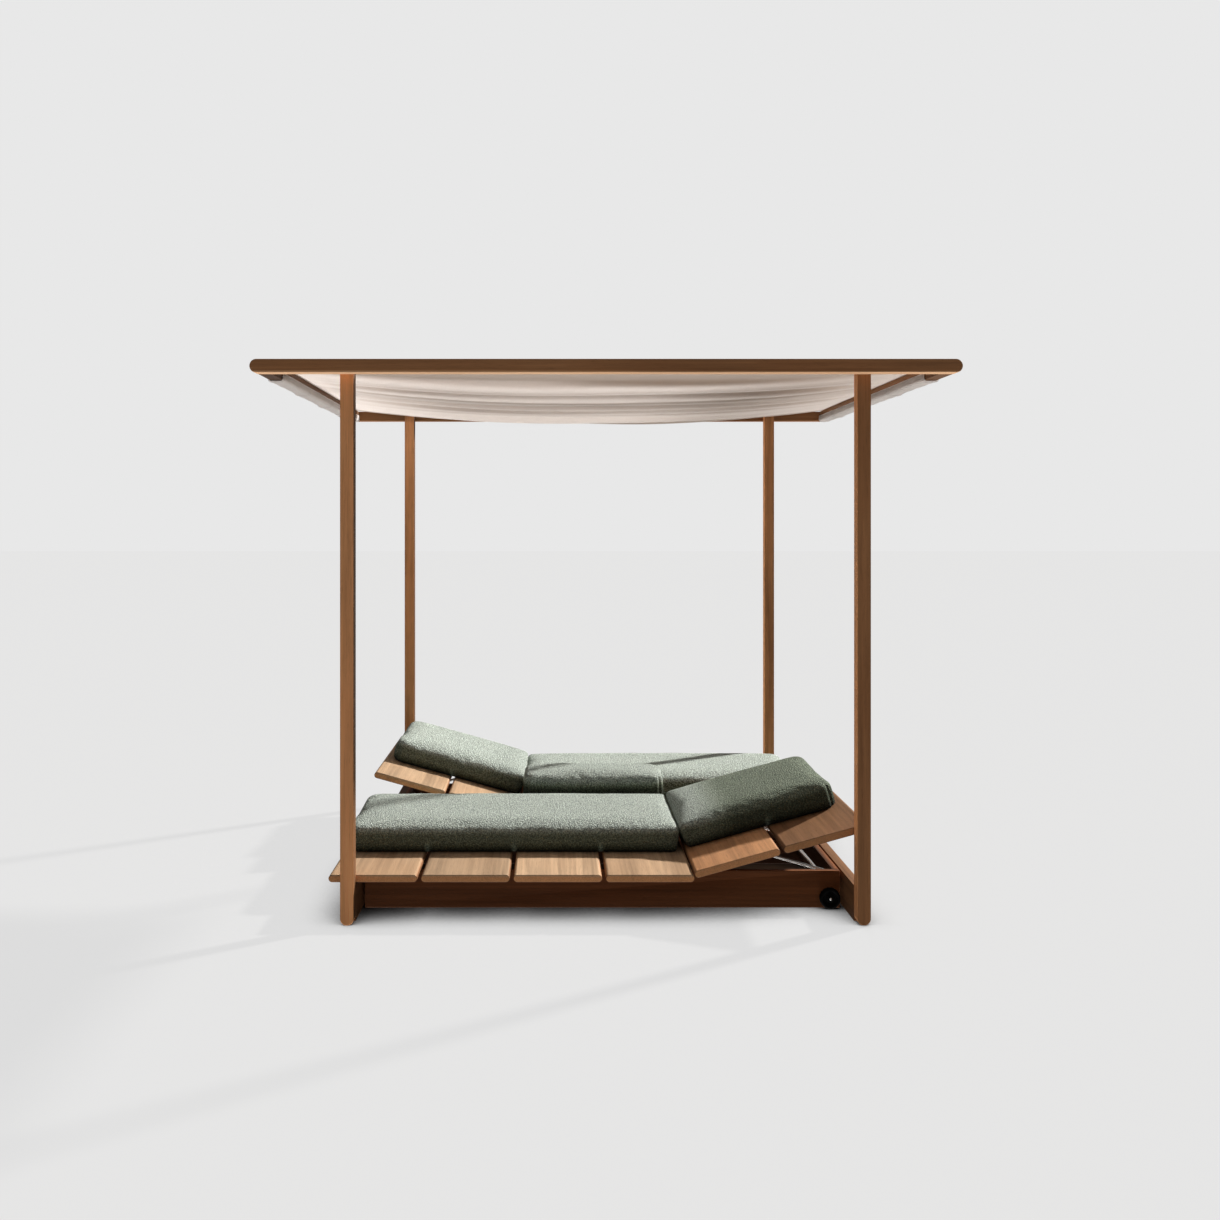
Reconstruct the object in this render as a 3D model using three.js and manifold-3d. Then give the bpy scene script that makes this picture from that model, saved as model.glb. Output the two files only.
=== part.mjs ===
// Outdoor daybed with canopy: a teak pavilion frame with a sagging fabric roof,
// and two wheeled slatted loungers that lie head to toe between its floor rails.
// Millimetres, +Z up, origin on the floor at the centre of the frame, +X to the right.

import * as THREE from 'three';
import { mergeVertices } from 'three/addons/utils/BufferGeometryUtils.js';
import Module from 'manifold-3d';

const wasm = await Module();
wasm.setup();

// Clearances
const fit = 0.3;
const pin_clearance = 0.4;

// Slats, and how the two loungers lie between the posts
const slat_width = 330;
const slat_gap = 14;
const slat_length = 894;
const slat_thickness = 28;
const fixed_slat_count = 4;
const back_slat_count = 2;
const bed_clearance = 4;
const bed_spacing = 9;
const front_bed_shift = -3;
const rear_bed_shift = -9;

// Pavilion frame
const post_section = 50;
const bed_past_posts = 75;
const beam_past_posts = 320;
const beam_height = 50;
const beam_thickness = 50;
const beam_underside = 2024;
const top_rail_width = 50;
const top_rail_inset = 20;
const floor_rail_height = 132;
const floor_rail_width = 38;

// Canopy cloth
const cloth_thickness = 3;
const cloth_end_gap = 5;
const cloth_sag = 72;
const cloth_front_lift = 34;
const cloth_lift_reach = 240;
const cloth_wave_height = 9;
const cloth_wave_length = 410;
const cloth_ripple_height = 4;
const cloth_ripple_length = 173;
const sag_power_share = 2.4;
const sleeve_front_gap = 160;
const sleeve_rear_gap = 12;
const sleeve_lip = 30;

// Lounger base box
const bed_past_base = 112;
const slat_past_base = 147;
const base_height = 141.7;
const panel_thickness = 25;
const pin_bore_depth = 15;

// Backrest hinge and side bars
const rest_tilt_degrees = 15.5;
const hinge_behind_slat = 39;
const hinge_drop = 28;
const hinge_rod_radius = 6;
const bar_thickness = 24;
const bar_inset = 2;
const bar_nose_radius = 24;
const bar_neck_drop = 31;
const bar_neck_length = 66;
const bar_end_before_pins = 15;
const bar_end_height = 30;

// Wire props, pinned in the side rails below the head end of the back
const prop_rod_radius = 6;
const prop_pin_inset = 40;
const prop_side_gap = 5;
const prop_between_gap = 6;
const long_prop_slope_degrees = 15.85;
const long_prop_pin_height = 123;
const long_prop_touch_gap = 0.5;
const short_prop_slope_degrees = 49.2;
const short_prop_pin_height = 88;
const short_prop_touch_gap = 0.9;

// Wheels
const wheel_radius = 39;
const wheel_width = 24;
const wheel_lift = 1;
const wheel_end_inset = 41;
const wheel_side_gap = 1;
const tread_round = 5;
const hub_radius = 15;
const hub_recess = 3;
const axle_radius = 5;
const axle_head_radius = 9;
const axle_head_length = 5;

// Cushions
const mattress_thickness = 108;
const mattress_crown = 9;
const mattress_draw = 6;
const mattress_edge = 42;
const mattress_bare_margin = 288;
const mattress_far_margin = 26;
const mattress_foot_inset = 25;
const mattress_head_inset = 53;
const seat_end_before_fold = 33;
const back_start_after_fold = 13;
const bolster_length = 630;
const bolster_side_gap = 6.5;
const bolster_height = 172;
const bolster_crown = 8;
const bolster_draw = 5;
const bolster_edge = 45;
const under_edge_share = 0.45;

// How finely the round shapes are cut
const round_steps = 16;
const wheel_steps = 22;
const corner_steps = 4;
const crown_steps = 6;
const cloth_cells_across = 20;
const cloth_cells_deep = 22;
const mattress_stations = 17;

// Derived places of the frame
const slat_pitch = slat_width + slat_gap;
const bed_length = (fixed_slat_count + back_slat_count) * slat_pitch - slat_gap;
const post_x = bed_length / 2 - bed_past_posts;
const beam_top = beam_underside + beam_height;
const post_depth_clear = 2 * (slat_length + bed_clearance) + bed_spacing;
const post_y = (post_depth_clear + post_section) / 2;
const post_back_y = post_y + post_section / 2;
const beam_end_x = post_x + post_section / 2 + beam_past_posts;
const rail_outer_x = beam_end_x - top_rail_inset;
const rail_inner_x = rail_outer_x - top_rail_width;

// Derived places of a lounger, measured from the middle of its slat field
const base_length = bed_length - 2 * bed_past_base;
const base_width = slat_length - 2 * slat_past_base;
const bed_foot_x = -bed_length / 2;
const slat_under = base_height + fit;
const slat_top = slat_under + slat_thickness;
const last_fixed_end_x = bed_foot_x + fixed_slat_count * slat_pitch - slat_gap;
const hinge_x = last_fixed_end_x - hinge_behind_slat;
const hinge_z = slat_under - hinge_drop;
const back_start_x = last_fixed_end_x + slat_gap;
const base_inner_y = base_width / 2 - panel_thickness;
const bar_outer_y = base_inner_y - bar_inset;
const head_panel_inner_x = base_length / 2 - panel_thickness;
const prop_pin_x = base_length / 2 - prop_pin_inset;
const wheel_x = base_length / 2 - wheel_end_inset;
const wheel_z = wheel_radius + wheel_lift;
const bar_inner_y = bar_outer_y - bar_thickness;
const long_prop_leg_y = bar_inner_y - prop_side_gap - prop_rod_radius;
const short_prop_leg_y = long_prop_leg_y - 2 * prop_rod_radius - prop_between_gap;
const tilt = THREE.MathUtils.degToRad(rest_tilt_degrees);
const mattress_width = slat_length - mattress_bare_margin - mattress_far_margin;
const mattress_offset = (mattress_bare_margin - mattress_far_margin) / 2;
const bolster_width = mattress_bare_margin - 2 * bolster_side_gap;

// Timber, cloth, cushion, chrome and rubber
function finish(color, roughness, metalness = 0) {
  return new THREE.MeshStandardMaterial({ color, roughness, metalness });
}
const teak = finish(0x8a5a37, 0.6);
const teak_dark = finish(0x5b3820, 0.65);
const canvas = finish(0xd3c6b8, 0.95);
const boucle = finish(0x8ea293, 1);
const chrome = finish(0xc9c9c6, 0.2, 1);
const rubber = finish(0x151515, 0.7);

const daybed = new THREE.Group();

function add(parent, name, geometry, material) {
  const mesh = new THREE.Mesh(geometry, material);
  mesh.name = name;
  parent.add(mesh);
  return mesh;
}

// A solid whose outline lies in the XZ plane and which runs from y0 to y1
function alongY(outline, y0, y1, steps = round_steps / 4) {
  const geometry = new THREE.ExtrudeGeometry(outline, {
    depth: y1 - y0,
    bevelEnabled: false,
    curveSegments: steps,
  });
  geometry.rotateX(Math.PI / 2);
  geometry.translate(0, y1, 0);
  return geometry;
}

function polygon(points) {
  return new THREE.Shape(points.map(([x, z]) => new THREE.Vector2(x, z)));
}

function rectangle(x0, z0, x1, z1) {
  return polygon([[x0, z0], [x1, z0], [x1, z1], [x0, z1]]);
}

function roundHole(x, z, radius) {
  const hole = new THREE.Path();
  hole.absarc(x, z, radius, 0, 2 * Math.PI, true);
  return hole;
}

// A bar with fully rounded left and right ends, seen from the front
function stadium(x0, z0, x1, z1) {
  const radius = (z1 - z0) / 2;
  const middle = (z0 + z1) / 2;
  const outline = new THREE.Shape();
  outline.moveTo(x0 + radius, z0);
  outline.lineTo(x1 - radius, z0);
  outline.absarc(x1 - radius, middle, radius, -Math.PI / 2, Math.PI / 2, false);
  outline.lineTo(x0 + radius, z1);
  outline.absarc(x0 + radius, middle, radius, Math.PI / 2, 1.5 * Math.PI, false);
  return outline;
}

// Posts have a half-round foot
function postOutline() {
  const radius = post_section / 2;
  const outline = new THREE.Shape();
  outline.moveTo(radius, radius);
  outline.lineTo(radius, beam_top);
  outline.lineTo(-radius, beam_top);
  outline.lineTo(-radius, radius);
  outline.absarc(0, radius, radius, Math.PI, 2 * Math.PI, false);
  return outline;
}

function buildFrame(parent) {
  for (const [side, sx] of [['left', -1], ['right', 1]]) {
    for (const [end, sy] of [['front', -1], ['rear', 1]]) {
      const geometry = alongY(postOutline(), -post_section / 2, post_section / 2);
      const post = add(parent, `post_${end}_${side}`, geometry, teak);
      post.position.set(sx * post_x, sy * post_y, 0);
    }
    const half_floor = post_depth_clear / 2 - fit;
    const half_rail = floor_rail_width / 2;
    const floor_outline = rectangle(-half_rail, 0, half_rail, floor_rail_height);
    const floor_rail = alongY(floor_outline, -half_floor, half_floor);
    add(parent, `floor_rail_${side}`, floor_rail, teak)
      .position.x = sx * (post_x - post_section / 2 + half_rail);

    const half_top = post_back_y - fit;
    const middle_x = (rail_inner_x + rail_outer_x) / 2;
    const top_outline = rectangle(
      -top_rail_width / 2, beam_underside, top_rail_width / 2, beam_top);
    const top_rail = alongY(top_outline, -half_top, half_top);
    add(parent, `top_rail_${side}`, top_rail, teak).position.x = sx * middle_x;
  }
  for (const [end, sy] of [['front', -1], ['rear', 1]]) {
    const outline = stadium(-beam_end_x, beam_underside, beam_end_x, beam_top);
    const beam = add(parent, `beam_${end}`,
      alongY(outline, -beam_thickness / 2, beam_thickness / 2, round_steps / 2), teak);
    beam.position.y = sy * (post_back_y + fit + beam_thickness / 2);
  }
}

// The height of the cloth's underside: a sag between the rails, eased up towards
// the front hem, with long waves and short ripples that run from rail to rail
function clothHeight(x, y, y_front) {
  const across = Math.min(1, Math.abs(x) / rail_inner_x);
  const bowl = 1 - across ** sag_power_share;
  const from_front = y - y_front;
  const lift = cloth_front_lift * Math.exp(-((from_front / cloth_lift_reach) ** 2));
  const wave = cloth_wave_height * Math.sin((2 * Math.PI * from_front) / cloth_wave_length);
  const ripple = cloth_ripple_height
    * Math.sin((2 * Math.PI * from_front) / cloth_ripple_length + across);
  return beam_top + fit - bowl * (cloth_sag - lift - wave - ripple);
}

function clothGeometry() {
  const y_front = -post_y + post_section / 2 + cloth_end_gap;
  const y_rear = -y_front;
  const half_width = rail_outer_x + cloth_thickness;
  const columns = [];
  for (let i = 1; i < cloth_cells_across - 1; i += 1) {
    columns.push(rail_inner_x * (2 * (i - 1) / (cloth_cells_across - 3) - 1));
  }
  columns.unshift(-half_width);
  columns.push(half_width);
  const rows = cloth_cells_deep;
  const points = [];
  const index = [];
  for (const level of [0, cloth_thickness]) {
    for (let j = 0; j < rows; j += 1) {
      const y = y_front + ((y_rear - y_front) * j) / (rows - 1);
      for (const x of columns) points.push(x, y, clothHeight(x, y, y_front) + level);
    }
  }
  const wide = columns.length;
  const sheet = wide * rows;
  const quad = (a, b, c, d) => index.push(a, b, c, a, c, d);
  for (let j = 0; j < rows - 1; j += 1) {
    for (let i = 0; i < wide - 1; i += 1) {
      const a = j * wide + i;
      quad(a, a + wide, a + wide + 1, a + 1);
      quad(sheet + a, sheet + a + 1, sheet + a + wide + 1, sheet + a + wide);
    }
  }
  for (let i = 0; i < wide - 1; i += 1) {
    const last = (rows - 1) * wide + i;
    quad(i, i + 1, sheet + i + 1, sheet + i);
    quad(last + 1, last, sheet + last, sheet + last + 1);
  }
  for (let j = 0; j < rows - 1; j += 1) {
    const left = j * wide;
    const right = left + wide - 1;
    quad(left + wide, left, sheet + left, sheet + left + wide);
    quad(right, right + wide, sheet + right + wide, sheet + right);
  }
  return indexed(points, index);
}

function indexed(points, index) {
  const geometry = new THREE.BufferGeometry();
  geometry.setAttribute('position', new THREE.Float32BufferAttribute(points, 3));
  geometry.setIndex(index);
  return geometry;
}

// The hem of the cloth goes down outside the rail, under it and up its inner face
function sleeveOutline() {
  const inner = -top_rail_width / 2 - fit;
  const outer = top_rail_width / 2 + fit;
  const floor = beam_underside - fit;
  return polygon([
    [outer, beam_top], [outer, floor], [inner, floor], [inner, floor + sleeve_lip],
    [inner - cloth_thickness, floor + sleeve_lip],
    [inner - cloth_thickness, floor - cloth_thickness],
    [outer + cloth_thickness, floor - cloth_thickness],
    [outer + cloth_thickness, beam_top],
  ]);
}

function buildCanopy(parent) {
  add(parent, 'canopy_sheet', clothGeometry(), canvas);
  const middle_x = (rail_inner_x + rail_outer_x) / 2;
  const y0 = -post_back_y + sleeve_front_gap;
  const y1 = post_back_y - sleeve_rear_gap;
  for (const [side, sx] of [['left', -1], ['right', 1]]) {
    const geometry = alongY(sleeveOutline(), y0, y1);
    if (sx < 0) {
      geometry.rotateZ(Math.PI);
      geometry.translate(0, y0 + y1, 0);
    }
    add(parent, `canopy_sleeve_${side}`, geometry, canvas).position.x = sx * middle_x;
  }
}

function rodAlongY(radius, y0, y1) {
  const geometry = new THREE.CylinderGeometry(radius, radius, y1 - y0, round_steps);
  geometry.translate(0, (y0 + y1) / 2, 0);
  return geometry;
}

// Left and right on a lounger are as seen from its foot, looking towards its head.
// The side rails of the base have blind bores for the pins on their inner face,
// and one bore that goes through for the wheel axle
function sideRailGeometry(sy) {
  const half = base_length / 2;
  const outer = sy * base_width / 2;
  const inner = sy * base_inner_y;
  const outline = rectangle(-half, 0, half, base_height);
  outline.holes.push(roundHole(wheel_x, wheel_z, axle_radius + pin_clearance));
  const y0 = Math.min(outer, inner);
  let rail = toSolid(alongY(outline, y0, y0 + panel_thickness, round_steps / 2));
  const bores = [
    [hinge_x, hinge_z, hinge_rod_radius],
    [prop_pin_x, long_prop_pin_height, prop_rod_radius],
    [prop_pin_x, short_prop_pin_height, prop_rod_radius],
  ];
  for (const [x, z, radius] of bores) {
    const deep = inner + sy * pin_bore_depth;
    const mouth = inner - sy * fit;
    const bore = rodAlongY(radius + pin_clearance, Math.min(deep, mouth), Math.max(deep, mouth));
    bore.translate(x, 0, z);
    rail = rail.subtract(toSolid(bore));
  }
  return fromSolid(rail);
}

function buildBase(parent, prefix) {
  const half = base_length / 2;
  for (const [side, sy] of [['right', -1], ['left', 1]]) {
    add(parent, `${prefix}_bed_rail_${side}`, sideRailGeometry(sy), teak_dark);
  }
  for (const [end, x0] of [['foot', -half], ['head', half - panel_thickness]]) {
    const outline = rectangle(x0, 0, x0 + panel_thickness, base_height);
    const geometry = alongY(outline, fit - base_inner_y, base_inner_y - fit);
    add(parent, `${prefix}_bed_${end}_board`, geometry, teak_dark);
  }
  const rod_half = base_inner_y + pin_bore_depth - pin_clearance;
  const rod = add(parent, `${prefix}_hinge_rod`,
    rodAlongY(hinge_rod_radius, -rod_half, rod_half), chrome);
  rod.position.set(hinge_x, 0, hinge_z);
}

function toSolid(geometry) {
  const bare = geometry.clone();
  bare.deleteAttribute('normal');
  bare.deleteAttribute('uv');
  const merged = mergeVertices(bare);
  return new wasm.Manifold(new wasm.Mesh({
    numProp: 3,
    vertProperties: new Float32Array(merged.attributes.position.array),
    triVerts: new Uint32Array(merged.index.array),
  }));
}

function fromSolid(solid) {
  const mesh = solid.getMesh();
  return indexed(Array.from(mesh.vertProperties), Array.from(mesh.triVerts));
}

// The length at which a prop's cross rod reaches the underside of the back slats
function propLength(pin_height, slope, touch_gap) {
  const under_slats = slat_under - hinge_z - prop_rod_radius - touch_gap;
  const ahead = (prop_pin_x - hinge_x) * Math.sin(tilt);
  const above = (pin_height - hinge_z) * Math.cos(tilt);
  return (under_slats + ahead - above) / Math.sin(slope + tilt);
}

// A wire prop: a cross rod, two legs and two feet turned out into the side rails.
// It is drawn with its feet on the Y axis and its legs along -X
function propGeometry(length, leg_y) {
  const cross_half = leg_y + prop_rod_radius;
  const cross = rodAlongY(prop_rod_radius, -cross_half, cross_half);
  cross.translate(-length, 0, 0);
  const foot_end = base_inner_y + pin_bore_depth - pin_clearance;
  let prop = toSolid(cross);
  for (const sy of [-1, 1]) {
    const leg = rodAlongY(prop_rod_radius, 0, length);
    leg.rotateZ(Math.PI / 2);
    leg.translate(0, sy * leg_y, 0);
    const inner = sy * (leg_y - prop_rod_radius);
    const outer = sy * foot_end;
    const foot = rodAlongY(prop_rod_radius, Math.min(inner, outer), Math.max(inner, outer));
    prop = prop.add(toSolid(leg)).add(toSolid(foot));
  }
  return fromSolid(prop);
}

function buildSlats(parent, prefix, start_x, count, name) {
  for (let i = 0; i < count; i += 1) {
    const x0 = start_x + i * slat_pitch;
    const outline = stadium(x0, slat_under, x0 + slat_width, slat_top);
    const geometry = alongY(outline, -slat_length / 2, slat_length / 2);
    add(parent, `${prefix}_${name}_${i + 1}`, geometry, teak);
  }
}

// The side bars of the back: a nose round the hinge, a low neck that clears the
// last fixed slat as the back rises, and a full-depth run under the back slats
function barOutline() {
  const neck = slat_under - bar_neck_drop;
  const neck_end = hinge_x + bar_neck_length;
  const bar_end = prop_pin_x - bar_end_before_pins;
  const bar_under = hinge_z - bar_nose_radius;
  const nose_end = Math.asin((neck - hinge_z) / bar_nose_radius);
  const outline = new THREE.Shape();
  outline.moveTo(bar_end, slat_under - fit);
  outline.lineTo(neck_end, slat_under - fit);
  outline.lineTo(neck_end, neck);
  outline.absarc(hinge_x, hinge_z, bar_nose_radius, nose_end, 1.5 * Math.PI, false);
  outline.lineTo(bar_end - bar_end_height, bar_under);
  outline.lineTo(bar_end, bar_under + bar_end_height);
  outline.holes.push(roundHole(hinge_x, hinge_z, hinge_rod_radius + pin_clearance));
  return outline;
}

// A group that turns about the hinge and whose children are drawn as if it lay flat
function tiltedGroup(parent) {
  const turn = new THREE.Group();
  turn.position.set(hinge_x, 0, hinge_z);
  turn.rotation.y = -tilt;
  const flat = new THREE.Group();
  flat.position.set(-hinge_x, 0, -hinge_z);
  turn.add(flat);
  parent.add(turn);
  return flat;
}

function buildBack(parent, prefix) {
  const flat = tiltedGroup(parent);
  buildSlats(flat, prefix, back_start_x, back_slat_count, 'back_slat');
  for (const [side, sy] of [['right', -1], ['left', 1]]) {
    const half_bar = bar_thickness / 2;
    const bar = alongY(barOutline(), -half_bar, half_bar, round_steps / 2);
    add(flat, `${prefix}_back_bar_${side}`, bar, teak_dark)
      .position.y = sy * (bar_outer_y - bar_thickness / 2);
  }
  const props = [
    ['long_prop', long_prop_leg_y, long_prop_pin_height,
      long_prop_slope_degrees, long_prop_touch_gap],
    ['short_prop', short_prop_leg_y, short_prop_pin_height,
      short_prop_slope_degrees, short_prop_touch_gap],
  ];
  for (const [name, leg_y, pin_height, slope_degrees, touch_gap] of props) {
    const slope = THREE.MathUtils.degToRad(slope_degrees);
    const length = propLength(pin_height, slope, touch_gap);
    const prop = add(parent, `${prefix}_${name}`, propGeometry(length, leg_y), chrome);
    prop.position.set(prop_pin_x, 0, pin_height);
    prop.rotation.y = slope;
  }
  return flat;
}

// A wheel is turned about Y, with a rounded tread, a recessed face and a bore
function wheelGeometry() {
  const half = wheel_width / 2;
  const bore = axle_radius + pin_clearance;
  const soft = wheel_radius - tread_round;
  const profile = [
    [bore, -half], [hub_radius, -half], [hub_radius + hub_recess, hub_recess - half],
    [soft - tread_round, hub_recess - half], [soft, -half], [wheel_radius, tread_round - half],
    [wheel_radius, half - tread_round], [soft, half], [bore, half], [bore, -half],
  ];
  return new THREE.LatheGeometry(
    profile.map(([r, y]) => new THREE.Vector2(r, y)), wheel_steps);
}

function buildWheels(parent, prefix) {
  const wheel_y = base_width / 2 + wheel_side_gap + wheel_width / 2;
  const shank = wheel_y + wheel_width / 2 + fit;
  const head = shank + axle_head_length;
  const profile = [
    [0, -head], [axle_head_radius / 2, -head], [axle_head_radius, -shank - fit],
    [axle_head_radius, -shank], [axle_radius, -shank], [axle_radius, shank],
    [axle_head_radius, shank], [axle_head_radius, shank + fit],
    [axle_head_radius / 2, head], [0, head],
  ];
  const axle = new THREE.LatheGeometry(
    profile.map(([r, y]) => new THREE.Vector2(r, y)), round_steps);
  add(parent, `${prefix}_axle`, axle, chrome).position.set(wheel_x, 0, wheel_z);
  for (const [side, sy] of [['right', -1], ['left', 1]]) {
    const geometry = wheelGeometry();
    if (sy > 0) geometry.rotateX(Math.PI);
    add(parent, `${prefix}_wheel_${side}`, geometry, rubber)
      .position.set(wheel_x, sy * wheel_y, wheel_z);
  }
}

// The ring of a cushion's cross-section: a rounded rectangle with a crowned top,
// as points that go round from the lower right edge
function cushionRing(width, height, edge, under_edge, crown) {
  const half = width / 2;
  const ring = [];
  const corners = [
    [half - under_edge, under_edge, under_edge, -Math.PI / 2],
    [half - edge, height - edge, edge, 0],
    [edge - half, height - edge, edge, Math.PI / 2],
    [under_edge - half, under_edge, under_edge, Math.PI],
  ];
  for (const [cy, cz, radius, start] of corners) {
    for (let k = 0; k <= corner_steps; k += 1) {
      const angle = start + (Math.PI / 2) * (k / corner_steps);
      ring.push([cy + radius * Math.cos(angle), cz + radius * Math.sin(angle)]);
    }
    if (start === 0) {
      for (let k = 1; k < crown_steps; k += 1) {
        ring.push([(half - edge) * (1 - 2 * k / crown_steps), height]);
      }
    }
  }
  return ring.map(([y, z]) => [y, z + (z / height) * crown * (1 - (y / half) ** 2)]);
}

// A closed solid through rings of equal point counts, given in order along X
function loft(rings) {
  const count = rings[0].length;
  const points = rings.flat(2);
  const index = [];
  for (let s = 0; s < rings.length - 1; s += 1) {
    for (let k = 0; k < count; k += 1) {
      const a = s * count + k;
      const b = s * count + ((k + 1) % count);
      index.push(a, b + count, a + count, a, b, b + count);
    }
  }
  for (const [ring, first] of [[rings[0], true], [rings[rings.length - 1], false]]) {
    const base = first ? 0 : (rings.length - 1) * count;
    const flat = ring.map(([, y, z]) => new THREE.Vector2(y, z));
    for (const [a, b, c] of THREE.ShapeUtils.triangulateShape(flat, [])) {
      if (first) index.push(base + a, base + c, base + b);
      else index.push(base + a, base + b, base + c);
    }
  }
  return indexed(points, index);
}

// A cushion from x0 to x1 whose ends are drawn together over the edge radius
function cushionGeometry(x0, x1, size) {
  const rings = [];
  const last = mattress_stations - 1;
  const straight = last - 2 * corner_steps;
  for (let i = 0; i <= last; i += 1) {
    const from_end = Math.min(i, last - i);
    const turn = (Math.PI / 2) * Math.min(1, from_end / corner_steps);
    const inset = size.edge * (1 - Math.cos(Math.PI / 2 - turn));
    const pull = size.edge * (1 - Math.sin(turn));
    const reach = size.edge * (1 - Math.cos(turn));
    let x = i <= corner_steps ? x0 + reach : x1 - reach;
    if (from_end > corner_steps) {
      const share = (i - corner_steps) / straight;
      x = x0 + size.edge + (x1 - x0 - 2 * size.edge) * share;
    }
    const draw = size.draw * Math.sin(Math.PI * (x - x0) / (x1 - x0));
    rings.push(cushionStation(x, size, Math.max(inset, pull), draw));
  }
  return loft(rings);
}

// One ring of a cushion at x, pulled in at its top, bottom and sides
function cushionStation(x, size, pull, draw) {
  const under_pull = pull * under_edge_share;
  const width = size.width - 2 * (pull + draw);
  const height = size.height - pull - under_pull;
  const edge = size.edge - pull * under_edge_share;
  const under_edge = under_edge_share * size.edge;
  const ring = cushionRing(width, height, edge, under_edge, size.crown);
  return ring.map(([y, z]) => [x, y + size.middle, z + size.bottom + under_pull]);
}

function buildMattress(parent, flat, prefix, middle) {
  const size = {
    width: mattress_width,
    height: mattress_thickness,
    edge: mattress_edge,
    crown: mattress_crown,
    draw: mattress_draw,
    middle,
    bottom: slat_top + fit,
  };
  const seat_end = last_fixed_end_x - seat_end_before_fold;
  const back_start = back_start_x + back_start_after_fold;
  const foot = bed_foot_x + mattress_foot_inset;
  const head = -bed_foot_x - mattress_head_inset;
  add(parent, `${prefix}_seat_cushion`, cushionGeometry(foot, seat_end, size), boucle);
  add(flat, `${prefix}_back_cushion`, cushionGeometry(back_start, head, size), boucle);
}

function buildLounger(prefix, x, y, turned) {
  const lounger = new THREE.Group();
  lounger.position.set(x, y, 0);
  lounger.rotation.z = turned ? Math.PI : 0;
  buildBase(lounger, prefix);
  buildSlats(lounger, prefix, bed_foot_x, fixed_slat_count, 'seat_slat');
  const flat = buildBack(lounger, prefix);
  buildWheels(lounger, prefix);
  buildMattress(lounger, flat, prefix, turned ? -mattress_offset : mattress_offset);
  daybed.add(lounger);
}

// The bolster lies on the bare margin of the rear lounger
function buildBolster(parent, x, y) {
  const size = {
    width: bolster_width,
    height: bolster_height,
    edge: bolster_edge,
    crown: bolster_crown,
    draw: bolster_draw,
    middle: 0,
    bottom: slat_top + fit,
  };
  const geometry = cushionGeometry(-bolster_length / 2, bolster_length / 2, size);
  add(parent, 'bolster_cushion', geometry, boucle).position.set(x, y, 0);
}

const bed_y = post_depth_clear / 2 - bed_clearance - slat_length / 2;
const margin_front_y = bed_y - slat_length / 2;
const mattress_front_y = bed_y + mattress_offset - mattress_width / 2;

buildFrame(daybed);
buildCanopy(daybed);
buildLounger('front', front_bed_shift, -bed_y, false);
buildLounger('rear', rear_bed_shift, bed_y, true);
buildBolster(daybed, rear_bed_shift, (margin_front_y + mattress_front_y) / 2);

export default daybed;
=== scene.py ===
"""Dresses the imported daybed: timbers with eased edges, a sagging canopy cloth with its
sleeves, rounded cushions, wire props, wheels, and a plain stage. Metres, +Z up."""

import bpy
import numpy as np
from bpy.props import FloatProperty, FloatVectorProperty, PointerProperty
from bpy.types import Operator, Panel, PropertyGroup
from mathutils import Matrix, Vector


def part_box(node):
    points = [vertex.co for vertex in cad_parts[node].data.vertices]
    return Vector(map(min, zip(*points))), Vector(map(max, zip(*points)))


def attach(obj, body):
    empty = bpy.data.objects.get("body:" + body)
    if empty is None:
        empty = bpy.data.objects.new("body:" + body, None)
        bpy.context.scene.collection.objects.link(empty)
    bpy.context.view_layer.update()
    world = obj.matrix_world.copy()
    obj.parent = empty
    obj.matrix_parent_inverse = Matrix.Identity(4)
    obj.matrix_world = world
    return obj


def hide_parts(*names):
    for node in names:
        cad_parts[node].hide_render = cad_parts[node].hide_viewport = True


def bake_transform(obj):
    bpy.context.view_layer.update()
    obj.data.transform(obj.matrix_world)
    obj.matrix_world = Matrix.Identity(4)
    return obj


bl_info = {
    "name": "Daybed with canopy",
    "version": (1, 0, 0),
    "blender": (4, 5, 0),
    "location": "3D View > Sidebar > Daybed",
    "description": "Builds the looks of an outdoor daybed around its packed frame",
    "category": "Object",
}

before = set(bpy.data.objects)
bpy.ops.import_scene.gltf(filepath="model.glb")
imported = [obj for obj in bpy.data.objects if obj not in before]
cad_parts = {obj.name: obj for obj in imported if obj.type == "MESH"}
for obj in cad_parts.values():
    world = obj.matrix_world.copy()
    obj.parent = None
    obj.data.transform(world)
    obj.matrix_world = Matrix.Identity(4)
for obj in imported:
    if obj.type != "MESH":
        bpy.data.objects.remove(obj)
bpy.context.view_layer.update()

# The pavilion's sides along X, and its ends
SIDES = (("left", -1), ("right", 1))
ENDS = ("front", "rear")

# A length too small to see, which keeps an arc or the middle of a lathe from closing,
# the least divisor, and an angle in radians that no edge reaches, so that none is sharp
TINY = 0.0001
SMALLEST = 1e-9
SMOOTH = 3.2

# Where the middles of the loungers lie on the floor, and a lounger's sides along Y
LOUNGERS = {"front": (-0.003, -0.4515), "rear": (-0.009, 0.4515)}
LOUNGER_SIDES = (("right", -1), ("left", 1))

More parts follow.
